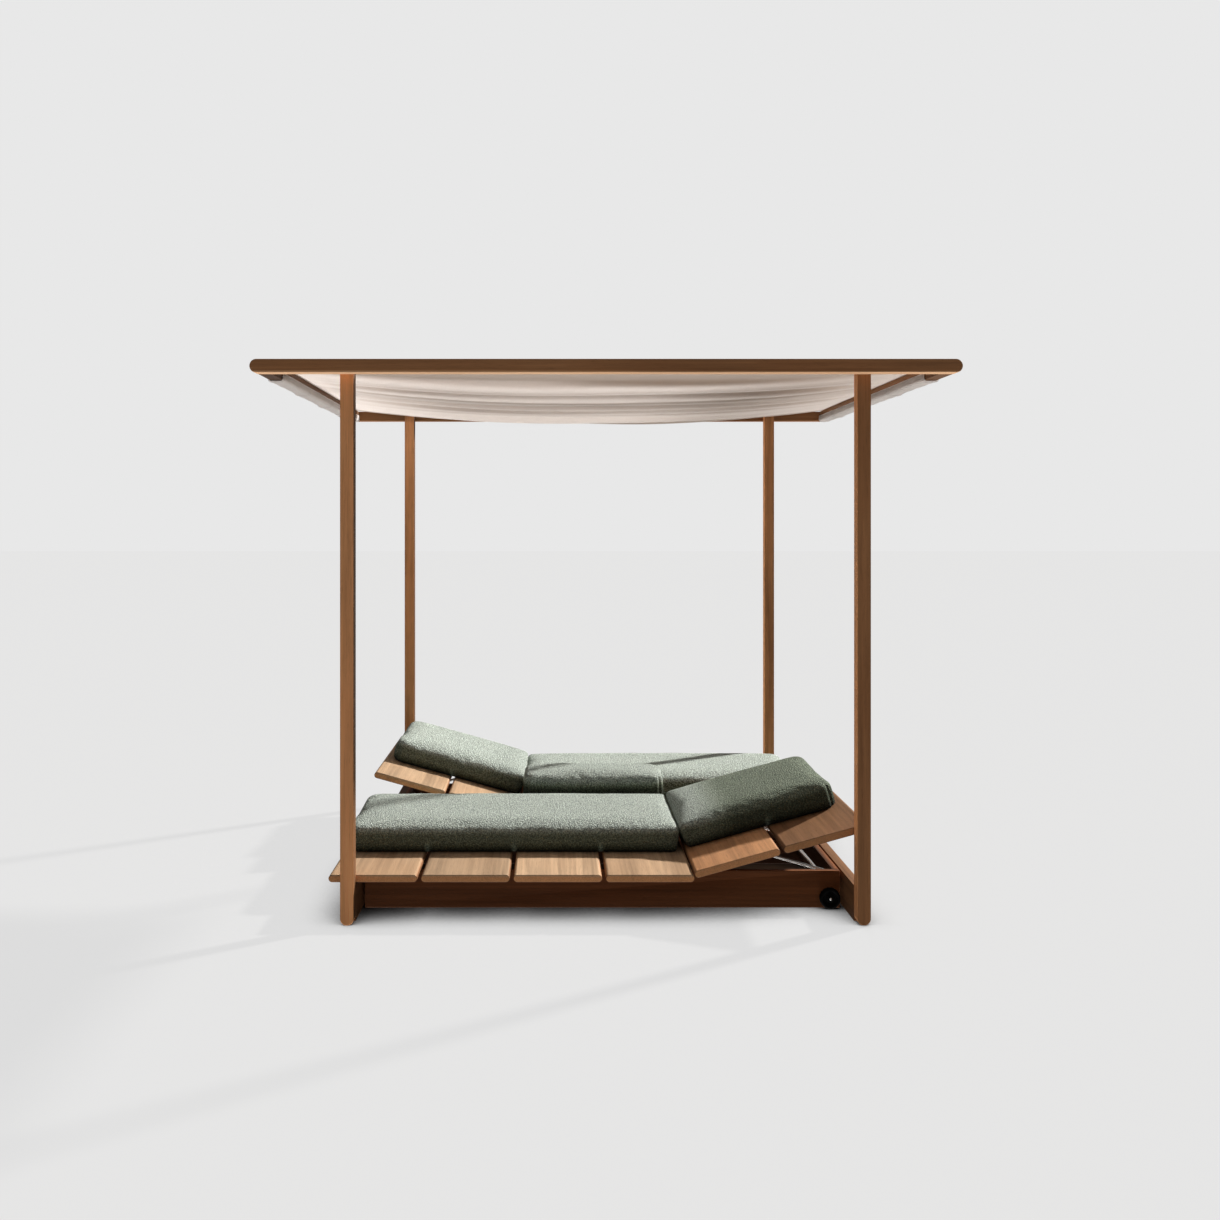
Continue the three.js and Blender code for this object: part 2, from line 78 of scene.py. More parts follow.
# The lounger, measured from its middle on the floor
SLAT_PITCH = 0.344
SLAT_SPAN = 0.330
SLAT_HALF_LENGTH = 0.447
SLAT_UNDER = 0.142
SLAT_TOP = 0.170
FOOT_X = -1.025
BACK_X = 0.351
HINGE = (0.298, 0.0, 0.114)
REST_TILT = np.radians(15.5)
ROD_RADIUS = 0.006
ROD_REACH = 0.2896
PIN_X = 0.873
PROPS = {
    "long_prop": {"leg": 0.238, "pin": 0.123, "slope": np.radians(15.85), "length": 0.3200},
    "short_prop": {"leg": 0.220, "pin": 0.088, "slope": np.radians(49.2), "length": 0.2210},
}
AXLE_X = 0.872
AXLE_Z = 0.040
WHEEL_MIDDLE = 0.313

# Painted light and shade: how much lighter or darker each timber is drawn than its finish
PAINTED_TONES = {
    "post_front_left": 1.78, "post_front_right": 0.82, "post_rear_left": 1.3,
    "post_rear_right": 1.15, "beam_front": 0.8, "beam_rear": 0.7,
    "top_rail_left": 0.35, "top_rail_right": 0.75, "floor_rail_left": 0.3,
    "floor_rail_right": 0.42, "front_seat_slat_1": 1.15, "front_seat_slat_2": 0.92,
    "front_seat_slat_3": 1.3, "front_seat_slat_4": 1.15, "front_back_slat_1": 1.08,
    "front_back_slat_2": 0.46, "rear_back_slat_1": 1.2, "rear_back_slat_2": 1.2,
}

# The folds of the cloth: how far each lies behind the front hem, its height, its width,
# how far it leans from side to side, how dark the painted shade along it is and how wide that
# shade is
FOLDS = (
    (0.215, 0.0100, 0.020, 0.012, 0.55, 0.020), (0.300, 0.0030, 0.012, -0.020, 0.30, 0.014),
    (0.400, 0.0050, 0.016, -0.014, 0.45, 0.020), (0.565, 0.0120, 0.018, 0.010, 0.95, 0.032),
    (0.690, 0.0070, 0.026, -0.006, 0.75, 0.024), (0.820, 0.0040, 0.012, 0.020, 0.45, 0.020),
    (0.960, 0.0120, 0.022, 0.012, 0.80, 0.032), (1.075, 0.0090, 0.014, 0.004, 0.85, 0.034),
    (1.240, 0.0070, 0.018, -0.022, 0.30, 0.020), (1.330, 0.0070, 0.016, 0.012, 0.50, 0.024),
    (1.470, 0.0060, 0.016, 0.016, 0.25, 0.020), (1.640, 0.0080, 0.022, -0.010, 0.20, 0.018),
)

# The canopy's hem and its panel seams, and where the tabs of a sleeve are stitched
HEM_WIDTH = 0.055
PANEL_SEAM_X = 0.62
TAB_STARTS = (-0.806, -0.326, 0.154, 0.634)
TAB_WIDTH = 0.028


class DaybedSizes(PropertyGroup):
    """Lengths that shape the soft pieces and the edges of the timber."""

    edge_ease: FloatProperty(
        name="Edge ease", description="How far the sharp edges of the timber are rounded",
        default=0.0022, min=0.0005, max=0.008, unit="LENGTH")
    cloth_sag: FloatProperty(
        name="Cloth sag", description="How far the middle of the canopy hangs down",
        default=0.075, min=0.02, max=0.2, unit="LENGTH")
    cloth_thickness: FloatProperty(
        name="Cloth thickness", description="Thickness of the canopy cloth",
        default=0.0016, min=0.0008, max=0.003, unit="LENGTH")
    cushion_edge: FloatProperty(
        name="Cushion edge", description="Radius of the upper edges of a cushion",
        default=0.024, min=0.015, max=0.05, unit="LENGTH")
    cushion_crown: FloatProperty(
        name="Cushion crown", description="How far a cushion's middle swells up in a quick look",
        default=0.013, min=0.0, max=0.02, unit="LENGTH")
    cushion_spacing: FloatProperty(
        name="Cushion mesh spacing", description="Distance between a cushion's points",
        default=0.012, min=0.006, max=0.03, unit="LENGTH")


class DaybedColours(PropertyGroup):
    """Colours of the finishes and of the stage."""

    teak: FloatVectorProperty(
        name="Teak", description="Middle colour of the slats, posts and beams",
        default=(0.49, 0.235, 0.105), subtype="COLOR", min=0, max=1)
    # A darker copy of the teak, as painted shade for the base panels and back bars that sit under
    # the slats
    teak_dark: FloatVectorProperty(
        name="Base teak", description="Middle colour of the base panels and back bars",
        default=(0.165, 0.058, 0.020), subtype="COLOR", min=0, max=1)
    boucle: FloatVectorProperty(
        name="Boucle", description="Middle colour of the cushions",
        default=(0.53, 0.602, 0.545), subtype="COLOR", min=0, max=1)
    linen: FloatVectorProperty(
        name="Linen", description="Colour of the canopy cloth",
        default=(0.86, 0.82, 0.795), subtype="COLOR", min=0, max=1)
    backdrop: FloatVectorProperty(
        name="Backdrop", description="Colour of the floor and the background",
        default=(0.807, 0.807, 0.807), subtype="COLOR", min=0, max=1)


# Meshes


def build_mesh(name, points, faces, attributes=None, uv=None, sharp=0.7):
    """A mesh object at the origin from arrays of points and lists of faces, with named
    point attributes and a UV map given per point. Edges past the angle sharp, in
    radians, aren't smooth."""
    mesh = bpy.data.meshes.new(name)
    listed = [face for block in faces for face in np.asarray(block).tolist()]
    mesh.from_pydata(np.asarray(points, float).tolist(), [], listed)
    mesh.polygons.foreach_set("use_smooth", np.ones(len(mesh.polygons), bool))
    for label, values in (attributes or {}).items():
        values = np.asarray(values, np.float32)
        kind, slot = ("FLOAT", "value") if values.ndim == 1 else ("FLOAT_VECTOR", "vector")
        mesh.attributes.new(label, kind, "POINT").data.foreach_set(slot, values.ravel())
    if uv is not None:
        corner = np.empty(len(mesh.loops), np.int32)
        mesh.loops.foreach_get("vertex_index", corner)
        layer = mesh.uv_layers.new(name="cloth")
        layer.data.foreach_set("uv", np.asarray(uv, np.float32)[corner].ravel())
    mesh.set_sharp_from_angle(angle=sharp)
    mesh.update()
    made = bpy.data.objects.new(name, mesh)
    bpy.context.scene.collection.objects.link(made)
    return made


def moved(points, place):
    """Points carried by a 4x4 matrix."""
    matrix = np.array(place)
    return points @ matrix[:3, :3].T + matrix[:3, 3]


def lounger_place(lounger):
    """Where a lounger stands: its middle on the floor, the rear one turned half round."""
    turn = Matrix.Rotation(np.pi * (lounger == "rear"), 4, "Z")
    return Matrix.Translation((*LOUNGERS[lounger], 0)) @ turn


def tilted_place(lounger):
    """The lounger's place with the back turned up about its hinge."""
    hinge = Matrix.Translation(HINGE)
    return (lounger_place(lounger) @ hinge @ Matrix.Rotation(-REST_TILT, 4, "Y")
            @ hinge.inverted())


def unit(rows):
    """Rows of numbers, each divided by its length."""
    return rows / np.linalg.norm(rows, axis=1, keepdims=True)


def rounded_outline(corners, radii, steps=6):
    """An outline whose corners are arcs. Each corner's arc starts radius / tan(half of
    the corner's angle) before it and turns about a centre on its bisector."""
    corners = np.asarray(corners, float)
    radii = np.broadcast_to(np.asarray(radii, float), len(corners))[:, None]
    back = unit(np.roll(corners, 1, 0) - corners)
    ahead = unit(np.roll(corners, -1, 0) - corners)
    half = np.arccos(np.clip((back * ahead).sum(1, keepdims=True), -1, 1)) / 2
    centre = corners + unit(back + ahead) * radii / np.sin(half)
    start = corners + back * radii / np.tan(half) - centre
    end = corners + ahead * radii / np.tan(half) - centre
    turn = np.pi - 2 * half
    share = np.linspace(0, 1, steps + 1)[None, :]
    first = (np.sin((1 - share) * turn) / np.sin(turn))[..., None] * start[:, None]
    last = (np.sin(share * turn) / np.sin(turn))[..., None] * end[:, None]
    return (centre[:, None] + first + last).reshape(-1, 2)


def rectangle(x0, z0, x1, z1):
    """The corners of a box, from the low left one round to the top left one."""
    return [(x0, z0), (x1, z0), (x1, z1), (x0, z1)]


def prism(outline, y0, y1, ease):
    """An XZ outline carried from y0 to y1. Over the ease at each end the outline shrinks
    along a quarter circle: inset = ease * (1 - sin), height = ease * (1 - cos)."""
    ahead = np.roll(outline, -1, 0) - outline
    normal = unit(np.stack([ahead[:, 1], -ahead[:, 0]], 1))
    normal = unit(normal + np.roll(normal, 1, 0))
    turn = np.linspace(0, np.pi / 2, 4)
    inset = np.concatenate([ease * (1 - np.sin(turn)), ease * (1 - np.sin(turn[::-1]))])
    along = np.concatenate([y0 + ease * (1 - np.cos(turn)),
                            y1 - ease * (1 - np.cos(turn[::-1]))])
    flat = outline[None] - normal[None] * inset[:, None, None]
    points = np.stack([flat[..., 0], np.broadcast_to(along[:, None], flat.shape[:2]),
                       flat[..., 1]], 2)
    rings, count = points.shape[:2]
    index = np.arange(rings * count).reshape(rings, count)
    onward = np.roll(index, -1, 1)
    quads = np.stack([index[:-1], index[1:], onward[1:], onward[:-1]], 2).reshape(-1, 4)
    cap = np.zeros((rings, count))
    cap[[0, -1]] = 1
    return points.reshape(-1, 3), [quads, index[:1], index[-1:, ::-1]], cap.ravel()


def lathe(profile, middle, steps):
    """A closed (radius, y) profile turned about an axis along Y through middle:
    x = radius * cos, z = radius * sin."""
    radius, along = np.asarray(profile, float).T
    angle = np.linspace(0, 2 * np.pi, steps, endpoint=False)[:, None]
    points = np.stack([middle[0] + radius * np.cos(angle),
                       middle[1] + np.broadcast_to(along, (steps, len(along))),
                       middle[2] + radius * np.sin(angle)], 2)
    index = np.arange(steps * len(radius)).reshape(steps, -1)
    onward = np.roll(index, -1, 0)
    quads = np.stack([index, onward, np.roll(onward, -1, 1), np.roll(index, -1, 1)], 2)
    return points.reshape(-1, 3), [quads.reshape(-1, 4)]


def tube(path, radius):
    """A round rod along a path in the XY plane: path + radius * (cos * side + sin * up),
    closed by a flat cap at each end."""
    sides = 20
    up = np.array((0.0, 0.0, 1.0))
    side = np.cross(up, unit(np.gradient(path, axis=0)))
    angle = np.linspace(0, 2 * np.pi, sides, endpoint=False)
    ring = (np.cos(angle)[None, :, None] * side[:, None]
            + np.sin(angle)[None, :, None] * up)
    points = path[:, None] + radius * ring
    index = np.arange(points.shape[0] * sides).reshape(-1, sides)
    onward = np.roll(index, -1, 1)
    quads = np.stack([index[:-1], onward[:-1], onward[1:], index[1:]], 2).reshape(-1, 4)
    return points.reshape(-1, 3), [quads, index[:1, ::-1], index[-1:]]


def box_shell(counts):
    """The skin of a lattice of cells: points from -1 to 1 and the quads between them."""
    shape = np.array(counts) + 1
    place = np.indices(shape)
    top = (shape - 1).reshape(3, 1, 1, 1)
    skin = ((place == 0) | (place == top)).any(0)
    index = np.full(shape, -1)
    index[skin] = np.arange(skin.sum())
    points = np.stack([axis[skin] for axis in place], 1) / np.array(counts) * 2 - 1
    quads = []
    for axis in range(3):
        for side in (0, counts[axis]):
            face = index.take(side, axis=axis)
            quad = np.stack([face[:-1, :-1], face[1:, :-1], face[1:, 1:], face[:-1, 1:]], 2)
            turned = (side == 0) != (axis == 1)
            quads.append(quad[..., ::-1 if turned else 1].reshape(-1, 4))
    return points, quads


def smooth_step(value, low, high):
    """Zero below low, one above high, and an even S curve between them."""
    share = np.clip((value - low) / (high - low), 0, 1)
    return share * share * (3 - 2 * share)


def bell(value, width):
    """A bell curve: exp(-(value / width) ** 2)."""
    return np.exp(-((value / width) ** 2))


def ripples(points, waves, seed):
    """Soft unevenness: the mean of sines that run in seeded directions."""
    rng = np.random.default_rng(seed)
    direction = unit(rng.normal(size=(waves, 3)))
    phase = rng.uniform(0, 2 * np.pi, waves)
    return np.sin(points @ direction.T + phase).mean(1) * np.sqrt(2 * waves) / 2


# Finishes


class Socket:
    """A node's output, which Python's operators turn into Math nodes."""

    def __init__(self, paint, socket):
        self.paint = paint
        self.socket = socket

    def math(self, operation, *others):
        return self.paint.math(operation, self, *others)

    def __add__(self, other):
        return self.math("ADD", other)

    def __sub__(self, other):
        return self.math("SUBTRACT", other)

    def __mul__(self, other):
        return self.math("MULTIPLY", other)

    def __rsub__(self, other):
        return self.paint.math("SUBTRACT", other, self)

    def sine(self):
        return self.math("SINE")

    def fraction(self):
        return self.math("FRACT")

    def band(self, low, high):
        """An even S curve from 0 at low to 1 at high, or the other way round."""
        ends = {1: low, 2: high} if low < high else {1: high, 2: low}
        values = {0: self, 3: 0.0 if low < high else 1.0, 4: 1.0 if low < high else 0.0}
        return self.paint.node(
            "MapRange", {"interpolation_type": "SMOOTHSTEP"}, {**ends, **values})


class Paint:
    """The node tree of a material or a world. Where a colour is asked for, a number
    stands for a shade of the finish's own colour."""

    def __init__(self, owner, colour=(1.0, 1.0, 1.0)):
        owner.use_nodes = True
        self.owner = owner
        self.colour = tuple(colour)
        self.tree = owner.node_tree
        self.tree.nodes.clear()

    def node(self, kind, settings=None, values=None, output=0):
        """A node of any type: its settings first, a ramp's stops among them, then the
        numbers or links of its sockets. Gives back one of its outputs."""
        made = self.tree.nodes.new("ShaderNode" + kind)
        for key, value in (settings or {}).items():
            if key == "stops":
                self.fill_ramp(made.color_ramp, value)
            else:
                setattr(made, key, value)
        for key, value in (values or {}).items():
            if isinstance(value, Socket):
                self.tree.links.new(value.socket, made.inputs[key])
            else:
                made.inputs[key].default_value = value
        return Socket(self, made.outputs[output])

    @staticmethod
    def fill_ramp(ramp, stops):
        while len(ramp.elements) < len(stops):
            ramp.elements.new(1.0)
        for element, (at, colour) in zip(ramp.elements, stops):
            element.position = at
            element.color = (*colour, 1)

    def attribute(self, name, output="Vector"):
        return self.node("Attribute", {"attribute_name": name}, output=output)

    def place(self):
        return self.node("TexCoord", output="Object")

    def math(self, operation, *values):
        return self.node("Math", {"operation": operation}, dict(enumerate(values)))

    def part(self, vector, axis):
        return self.node("SeparateXYZ", None, {0: vector}, output=axis)

    def scaled(self, vector, factor):
        return self.node("VectorMath", {"operation": "SCALE"}, {0: vector, "Scale": factor})

    def noise(self, vector, scale=1.0, detail=3.0, roughness=0.55, seed=None, output=0):
        """Noise. A scale of three numbers stretches it along each axis."""
        if isinstance(scale, tuple):
            vector = self.node("Mapping", None, {"Vector": vector, "Scale": scale})
            scale = 1.0
        settings = {"noise_dimensions": "3D" if seed is None else "4D"}
        values = {"Vector": vector, "Scale": scale, "Detail": detail, "Roughness": roughness}
        if seed is not None:
            values["W"] = seed
        return self.node("TexNoise", settings, values, output)

    def rgba(self, colour):
        """A socket as it is, a colour of three numbers with its alpha, or a shade."""
        if isinstance(colour, Socket):
            return colour
        return (*(colour if isinstance(colour, tuple) else shade(self.colour, colour)), 1)

    def mix(self, share, first, second, blend="MIX"):
        """Two colours mixed by a share."""
        return self.node("Mix", {"data_type": "RGBA", "blend_type": blend},
                         {0: share, 6: self.rgba(first), 7: self.rgba(second)}, output=2)

    def coats(self, base, *coats):
        """Colours laid over a base one after another, each by its share."""
        for share, colour in coats:
            base = self.mix(share, base, colour)
        return base

    def bump(self, height, distance, strength):
        return self.node("Bump", None,
                         {"Height": height, "Distance": distance, "Strength": strength})

    def principled(self, **values):
        named = {key.replace("_", " "): value for key, value in values.items()}
        for key in {"Base Color", "Sheen Tint"} & set(named):
            named[key] = self.rgba(named[key])
        return self.node("BsdfPrincipled", None, named, "BSDF")

    def finish(self, surface):
        """Links the surface to the output and gives back the material or world."""
        kind = "World" if isinstance(self.owner, bpy.types.World) else "Material"
        output = self.tree.nodes.new("ShaderNodeOutput" + kind)
        self.tree.links.new(surface.socket, output.inputs["Surface"])
        return self.owner


def shade(colour, factor):
    """A colour times a factor, with each part kept below one."""
    return tuple(min(1.0, part * factor) for part in colour)


def tinted(colour, *factors):
    """A colour whose three parts have a factor each."""
    return tuple(part * factor for part, factor in zip(colour, factors))


def teak_finish(paint, oiled):
    """Teak along the "grain" attribute: broad soft bands, a trace of growth rings round a
    far heart, long fibres, dark dashes of pores and a speckled end grain."""
    grain = paint.attribute("grain")
    board, cap, tone, bleach = (paint.attribute(name, "Fac") for name in (
        "board", "cap", "tone", "bleach"))
    seed = board * 37.0
    sway = paint.noise(grain, (0.9, 7.0, 7.0), 2.0, seed=seed)
    across = paint.part(grain, "Y")
    deep = paint.part(grain, "Z")
    heart = (across * across + deep * deep).math("SQRT")
    rings = (heart * 420.0 + sway * 22.0).sine() * 0.5 + 0.5
    broad = paint.noise(grain, (0.7, 11.0, 11.0), 4.0, 0.62, seed + 3.0)
    fibre = paint.noise(grain, (4.0, 260.0, 260.0), 4.0, 0.7, seed)
    dashes = paint.noise(grain, (20.0, 800.0, 800.0), 1.0, seed=seed).band(0.60, 0.68)
    cloud = paint.noise(grain, (1.6, 4.0, 4.0), seed=seed + 9.0)
    streak = paint.noise(grain, (1.3, 42.0, 42.0), 3.0, 0.6, seed + 5.0)
    figure = broad * 0.53 + streak * 0.42 + rings * 0.05 + fibre * 0.22 - 0.11
    stops = [(at, shade(paint.colour, level)) for at, level in (
        (0.33, 0.50), (0.44, 0.84), (0.54, 1.10), (0.66, 1.40))]
    warm = paint.node("ValToRGB", {"stops": stops}, {0: figure})
    vein = (broad * 0.6 + sway * 0.4).band(0.40, 0.33) * 0.5
    redder = tinted(paint.colour, 0.95, 0.80, 0.68)
    speck = paint.noise(grain, (200.0, 420.0, 420.0), 2.0, seed=seed)
    end = paint.mix(speck.band(0.35, 0.7), 0.86, 1.34)
    warm = paint.coats(warm, (vein, 0.45), (cloud.band(0.35, 0.68) * 0.4, redder),
                       (dashes * 0.30, 0.34), (cap * 0.75, end))
    # Painted light: a lighter, greyer colour where the timber carries it, then each timber's
    # painted light and shade from its tone level, times a little random tone per board
    warm = paint.mix(bleach, warm, (0.70, 1.0, 1.40), "MULTIPLY")
    warm = paint.scaled(warm, tone * ((board * 7.3).fraction() * 0.16 + 0.92))
    return paint.finish(paint.principled(
        Base_Color=warm, Roughness=fibre * 0.16 + dashes * 0.12 + (0.56 - oiled * 0.06),
        Normal=paint.bump(fibre * 0.6 - dashes * 0.8, 0.0006, 0.45),
        Specular_IOR_Level=0.12))


def boucle_finish(paint):
    """Boucle: loops of two yarns with painted light on their tips and painted shadows between
    them. Where the painted light attribute is below one the cloth carries painted shade,
    darker and greener, and above one painted light."""
    place = paint.place()
    wander = paint.noise(place, 60.0, 2.0, output="Color")
    bent = paint.node("VectorMath", {"operation": "MULTIPLY_ADD"},
                      {0: wander, 1: (0.010, 0.010, 0.010), 2: place})
    loops = paint.node("TexVoronoi", {"feature": "F1"},
                       {"Vector": bent, "Scale": 175.0, "Randomness": 1.0})
    yarn = paint.noise(place, 260.0, 3.0, 0.75)
    slub = paint.noise(place, 120.0, 3.0, 0.7)
    cloud = paint.noise(place, 9.0, 2.0)
    loft = 1.0 - loops.band(0.18, 0.72)
    cloth = paint.mix((yarn * 0.6 + slub * 0.4).band(0.41, 0.59), 0.50, 1.34)
    yarn_tip = shade(tinted(paint.colour, 1.04, 1.0, 1.0), 1.34)
    cloth = paint.coats(cloth, (loft * 0.5, yarn_tip), ((1.0 - loft) * 0.66, 0.18),
                        (cloud.band(0.35, 0.7) * 0.14, 0.78))
    # Painted light and shade: the cloth is scaled by its painted light level and turned greener
    # where that is below one
    nap = paint.attribute("nap", "Fac")
    cloth = paint.scaled(cloth, nap)
    cloth = paint.mix(1.0 - nap.math("MINIMUM", 1.0), cloth, (0.92, 1.0, 0.70), "MULTIPLY")
    return paint.finish(paint.principled(
        Base_Color=cloth, Roughness=0.95, Specular_IOR_Level=0.03,
        Normal=paint.bump(loft + yarn * 0.5 + slub * 0.6, 0.0042, 0.9),
        Sheen_Weight=0.06, Sheen_Roughness=0.6, Sheen_Tint=(0.85, 0.92, 0.85)))


def linen_finish(paint, through):
    """Linen: crossed threads with slubs and stitched seams. The share of light that goes
    through the cloth is lower where it is doubled, where painted shade lies on it, along
    the painted shade of its folds and where it is "lined"; the doubling, the painted shade
    and the fold shade also paint its colour browner, as painted shade."""
    cloth = paint.node("UVMap", {"uv_map": "cloth"})
    layers, seam, crease, lined = (paint.attribute(name, "Fac") for name in (
        "layers", "seam", "crease", "lined"))
    across = paint.part(cloth, "X")
    along = paint.part(cloth, "Y")
    warp = paint.noise(cloth, (1100.0, 26.0, 1.0), 2.0, 0.6)
    weft = paint.noise(cloth, (22.0, 1100.0, 1.0), 2.0, 0.6)
    slub = paint.noise(cloth, (14.0, 170.0, 1.0), 3.0, 0.6)
    cloud = paint.noise(cloth, (1.6, 5.0, 1.0))
    threads = (across * 4200.0).sine() * 0.5 + (along * 4200.0).sine() * 0.5
    weave = warp * 0.45 + weft * 0.45 + threads * 0.10
    stitch = seam * ((across + along) * 900.0).sine().band(-0.3, 0.2)
    browner = tinted(paint.colour, 0.60, 0.50, 0.42)
    # Painted shade: browner where the cloth is doubled or shaded, browner still along the folds
    tone = paint.coats(
        paint.mix(weave.band(0.32, 0.66), 0.82, 1.12), (slub.band(0.52, 0.72) * 0.4, 0.80),
        (cloud.band(0.35, 0.7) * 0.25, 0.86), (layers * 0.88, browner),
        (crease * 0.85, tinted(browner, 0.76, 0.62, 0.50)), (seam * 0.60, 0.42),
        (stitch * 0.5, 1.15))
    solid = paint.principled(
        Base_Color=tone, Roughness=0.9, Specular_IOR_Level=0.15, Sheen_Weight=0.1,
        Normal=paint.bump(weave + slub * 0.5 - seam * 1.2 + stitch * 1.4, 0.0008, 0.55))
    glow = paint.node("BsdfTranslucent", None, {"Color": paint.rgba(1.12)})
    share = through - (layers * 0.62 + crease * 0.42) * through - slub.band(0.5, 0.75) * 0.05
    share = share * (1.0 - lined)
    return paint.finish(paint.node("MixShader", None, {0: share, 1: solid, 2: glow}))


def chrome_finish(paint):
    """Polished steel rod with faint drawing lines and smudges."""
    place = paint.place()
    smudge = paint.noise(place, 45.0)
    lines = paint.noise(place, (900.0, 60.0, 900.0), 2.0)
    tone = paint.mix(smudge.band(0.4, 0.7) * 0.3, (0.80, 0.79, 0.77), (0.62, 0.60, 0.57))
    return paint.finish(paint.principled(
        Base_Color=tone, Metallic=1.0, Roughness=smudge * 0.16 + 0.08,
        Normal=paint.bump(lines, 0.0001, 0.2)))


def rubber_finish(paint):
    """Black rubber with moulding grain and a little dust on its tread."""
    place = paint.place()
    grain = paint.noise(place, 900.0, 2.0)
    dust = paint.noise(place, 60.0, 4.0, 0.7)
    tone = paint.mix(dust.band(0.5, 0.8) * 0.5, (0.004, 0.004, 0.0045), (0.016, 0.015, 0.014))
    return paint.finish(paint.principled(
        Base_Color=tone, Roughness=dust * 0.25 + 0.6, Specular_IOR_Level=0.05,
        Normal=paint.bump(grain, 0.0002, 0.4)))


def finish_for(slot):
    """The material of one slot of the record, made the first time it is asked for."""
    made = bpy.data.materials.get("finish_" + slot)
    if made:
        return made
    colours = bpy.context.scene.daybed_colours
    maker, colour, *rest = {
        "teak": (teak_finish, colours.teak, 1.0),
        "teak_dark": (teak_finish, colours.teak_dark, 0.6),
        "boucle": (boucle_finish, colours.boucle),
        "canvas": (linen_finish, colours.linen, 0.63),
        "steel": (chrome_finish, ()),
        "rubber": (rubber_finish, ()),
    }[slot]
    return maker(Paint(bpy.data.materials.new("finish_" + slot), colour), *rest)


def settle(piece, slot, nodes, body=None):
    """Gives a piece its finish and its body, and hides the CAD nodes that it stands for."""
    piece.data.materials.append(finish_for(slot))
    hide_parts(*nodes)
    if body:
        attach(piece, body)
    return piece


# Timber


def painted_shading(node, points, cap):
    """Painted light and shade on each point of a timber, as a lighter, greyer colour and a
    level: slat tops are drawn greyer and lighter than their sides where the sun falls on
    them, the front lounger's back ones only a little greyer, their long edges and undersides
    carry painted shade and their ends painted light; base boards carry painted shade on
    their inner faces and painted light on their top edges; back bars are drawn half as
    light; posts carry painted shade on their sides but painted light on the left sides of
    the right ones; the front beam's underside is drawn lighter and greyer as if lit from
    the floor; the top rails carry painted shade on their undersides."""
    x, _, z = points.T
    low, high = z.min(), z.max()
    level = np.full(len(points), PAINTED_TONES.get(node, 1.0))
    bleach = np.zeros(len(points))
    if "_slat_" in node:
        # Painted light on slat tops and ends, painted shade on their long edges and undersides
        bleach = smooth_step(z, high - 0.008, high - 0.001)
        under = 1 - smooth_step(z, low + 0.004, low + 0.012)
        level *= np.where(cap > 0, 1.38 / np.sqrt(level),
                          (0.36 + 0.64 * bleach) * (1 - 0.6 * under))
        bleach *= 0.25 if node.startswith("front_back") else 1.0
    elif "_bed_" in node:
        axis = int("rail" in node)
        away = np.abs(points[:, axis] - LOUNGERS[node.split("_")[0]][axis])
        # Painted shade on the inner faces of the base boards, painted light on their top edges
        shaded_inside = away < away.mean()
        level *= np.where(shaded_inside, 0.28, np.where(z > high - 0.001, 1.5, 1.0))
    elif "_bar_" in node:
        level *= 0.5
    elif node.startswith("post"):
        # Painted shade on post sides, painted light on the left sides of the right posts
        across = x - (x.min() + x.max()) / 2
        on_side = smooth_step(np.abs(across), 0.020, 0.025) > 0.9
        lit_side = (across < 0) & ("right" in node)
        level *= np.where(on_side, np.where(lit_side, 2.4, 0.16), 1.0)
    elif node == "beam_front":
        # Painted light on the beam's underside, as if lit from the floor
        bounce_lit = (z < low + 0.004) & (cap == 0)
        bleach = bounce_lit * 0.8
        level *= np.where(bounce_lit, 2.6, 1.0)
    elif node.startswith("top_rail"):
        # Painted shade on the rail's underside
        level *= np.where(z < low + 0.01, 0.35, 1.0)
    return bleach, level


def timber(node, outline, y0, y1, slot, body, grain_axis, place=None):
    """One board or post from its XZ outline. Its grain attribute runs along grain_axis
    and is measured from a heart that lies outside the board, different for each."""
    ease = bpy.context.scene.daybed_sizes.edge_ease
    points, faces, cap = prism(np.asarray(outline, float), y0, y1, ease)
    rng = np.random.default_rng(sum(node.encode()) * 7 + len(node))
    axes = {"X": (0, 1, 2), "Y": (1, 0, 2), "Z": (2, 0, 1)}[grain_axis]
    heart = np.array([0.0, *points[:, axes[1:]].mean(0)])
    heart[1:] += rng.uniform((-0.10, -0.16), (0.10, -0.06))
    grain = points[:, axes] - heart + (rng.uniform(0, 9), 0, 0)
    cap = cap * (grain_axis == "Y")
    board = np.full(len(points), rng.uniform(0.02, 0.98))
    # Painted light and shade for each point of the timber
    bleach, level = painted_shading(node, points, cap)
    points = moved(points, place) if place else points
    piece = build_mesh("timber_" + node, points, faces,
                       {"grain": grain, "board": board, "cap": cap, "bleach": bleach,
                        "tone": level})
    piece.modifiers.new("even shading", "WEIGHTED_NORMAL").keep_sharp = True
    return settle(piece, slot, [node], body)


def boxed_timber(node, slot, grain_axis, radii=None, steps=4):
    """A timber that has the box of its CAD node, with corners of the given radii in XZ or
    eased ones."""
    low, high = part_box(node)
    if radii is None:
        radii = bpy.context.scene.daybed_sizes.edge_ease
    outline = rounded_outline(rectangle(low.x, low.z, high.x, high.z), radii, steps)
    timber(node, outline, low.y, high.y, slot, "frame", grain_axis)


class DAYBED_OT_posts(Operator):
    """Build the four posts with their half-round feet"""

    bl_idname = "daybed.posts"
    bl_label = "Posts"

    def execute(self, context):
        top_ease = 0.002
        for end in ENDS:
            for side, _ in SIDES:
                node = f"post_{end}_{side}"
                low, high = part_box(node)
                foot = (high.x - low.x) / 2 - TINY
                boxed_timber(node, "teak", "Z", (foot, foot, top_ease, top_ease), 14)
        return {"FINISHED"}


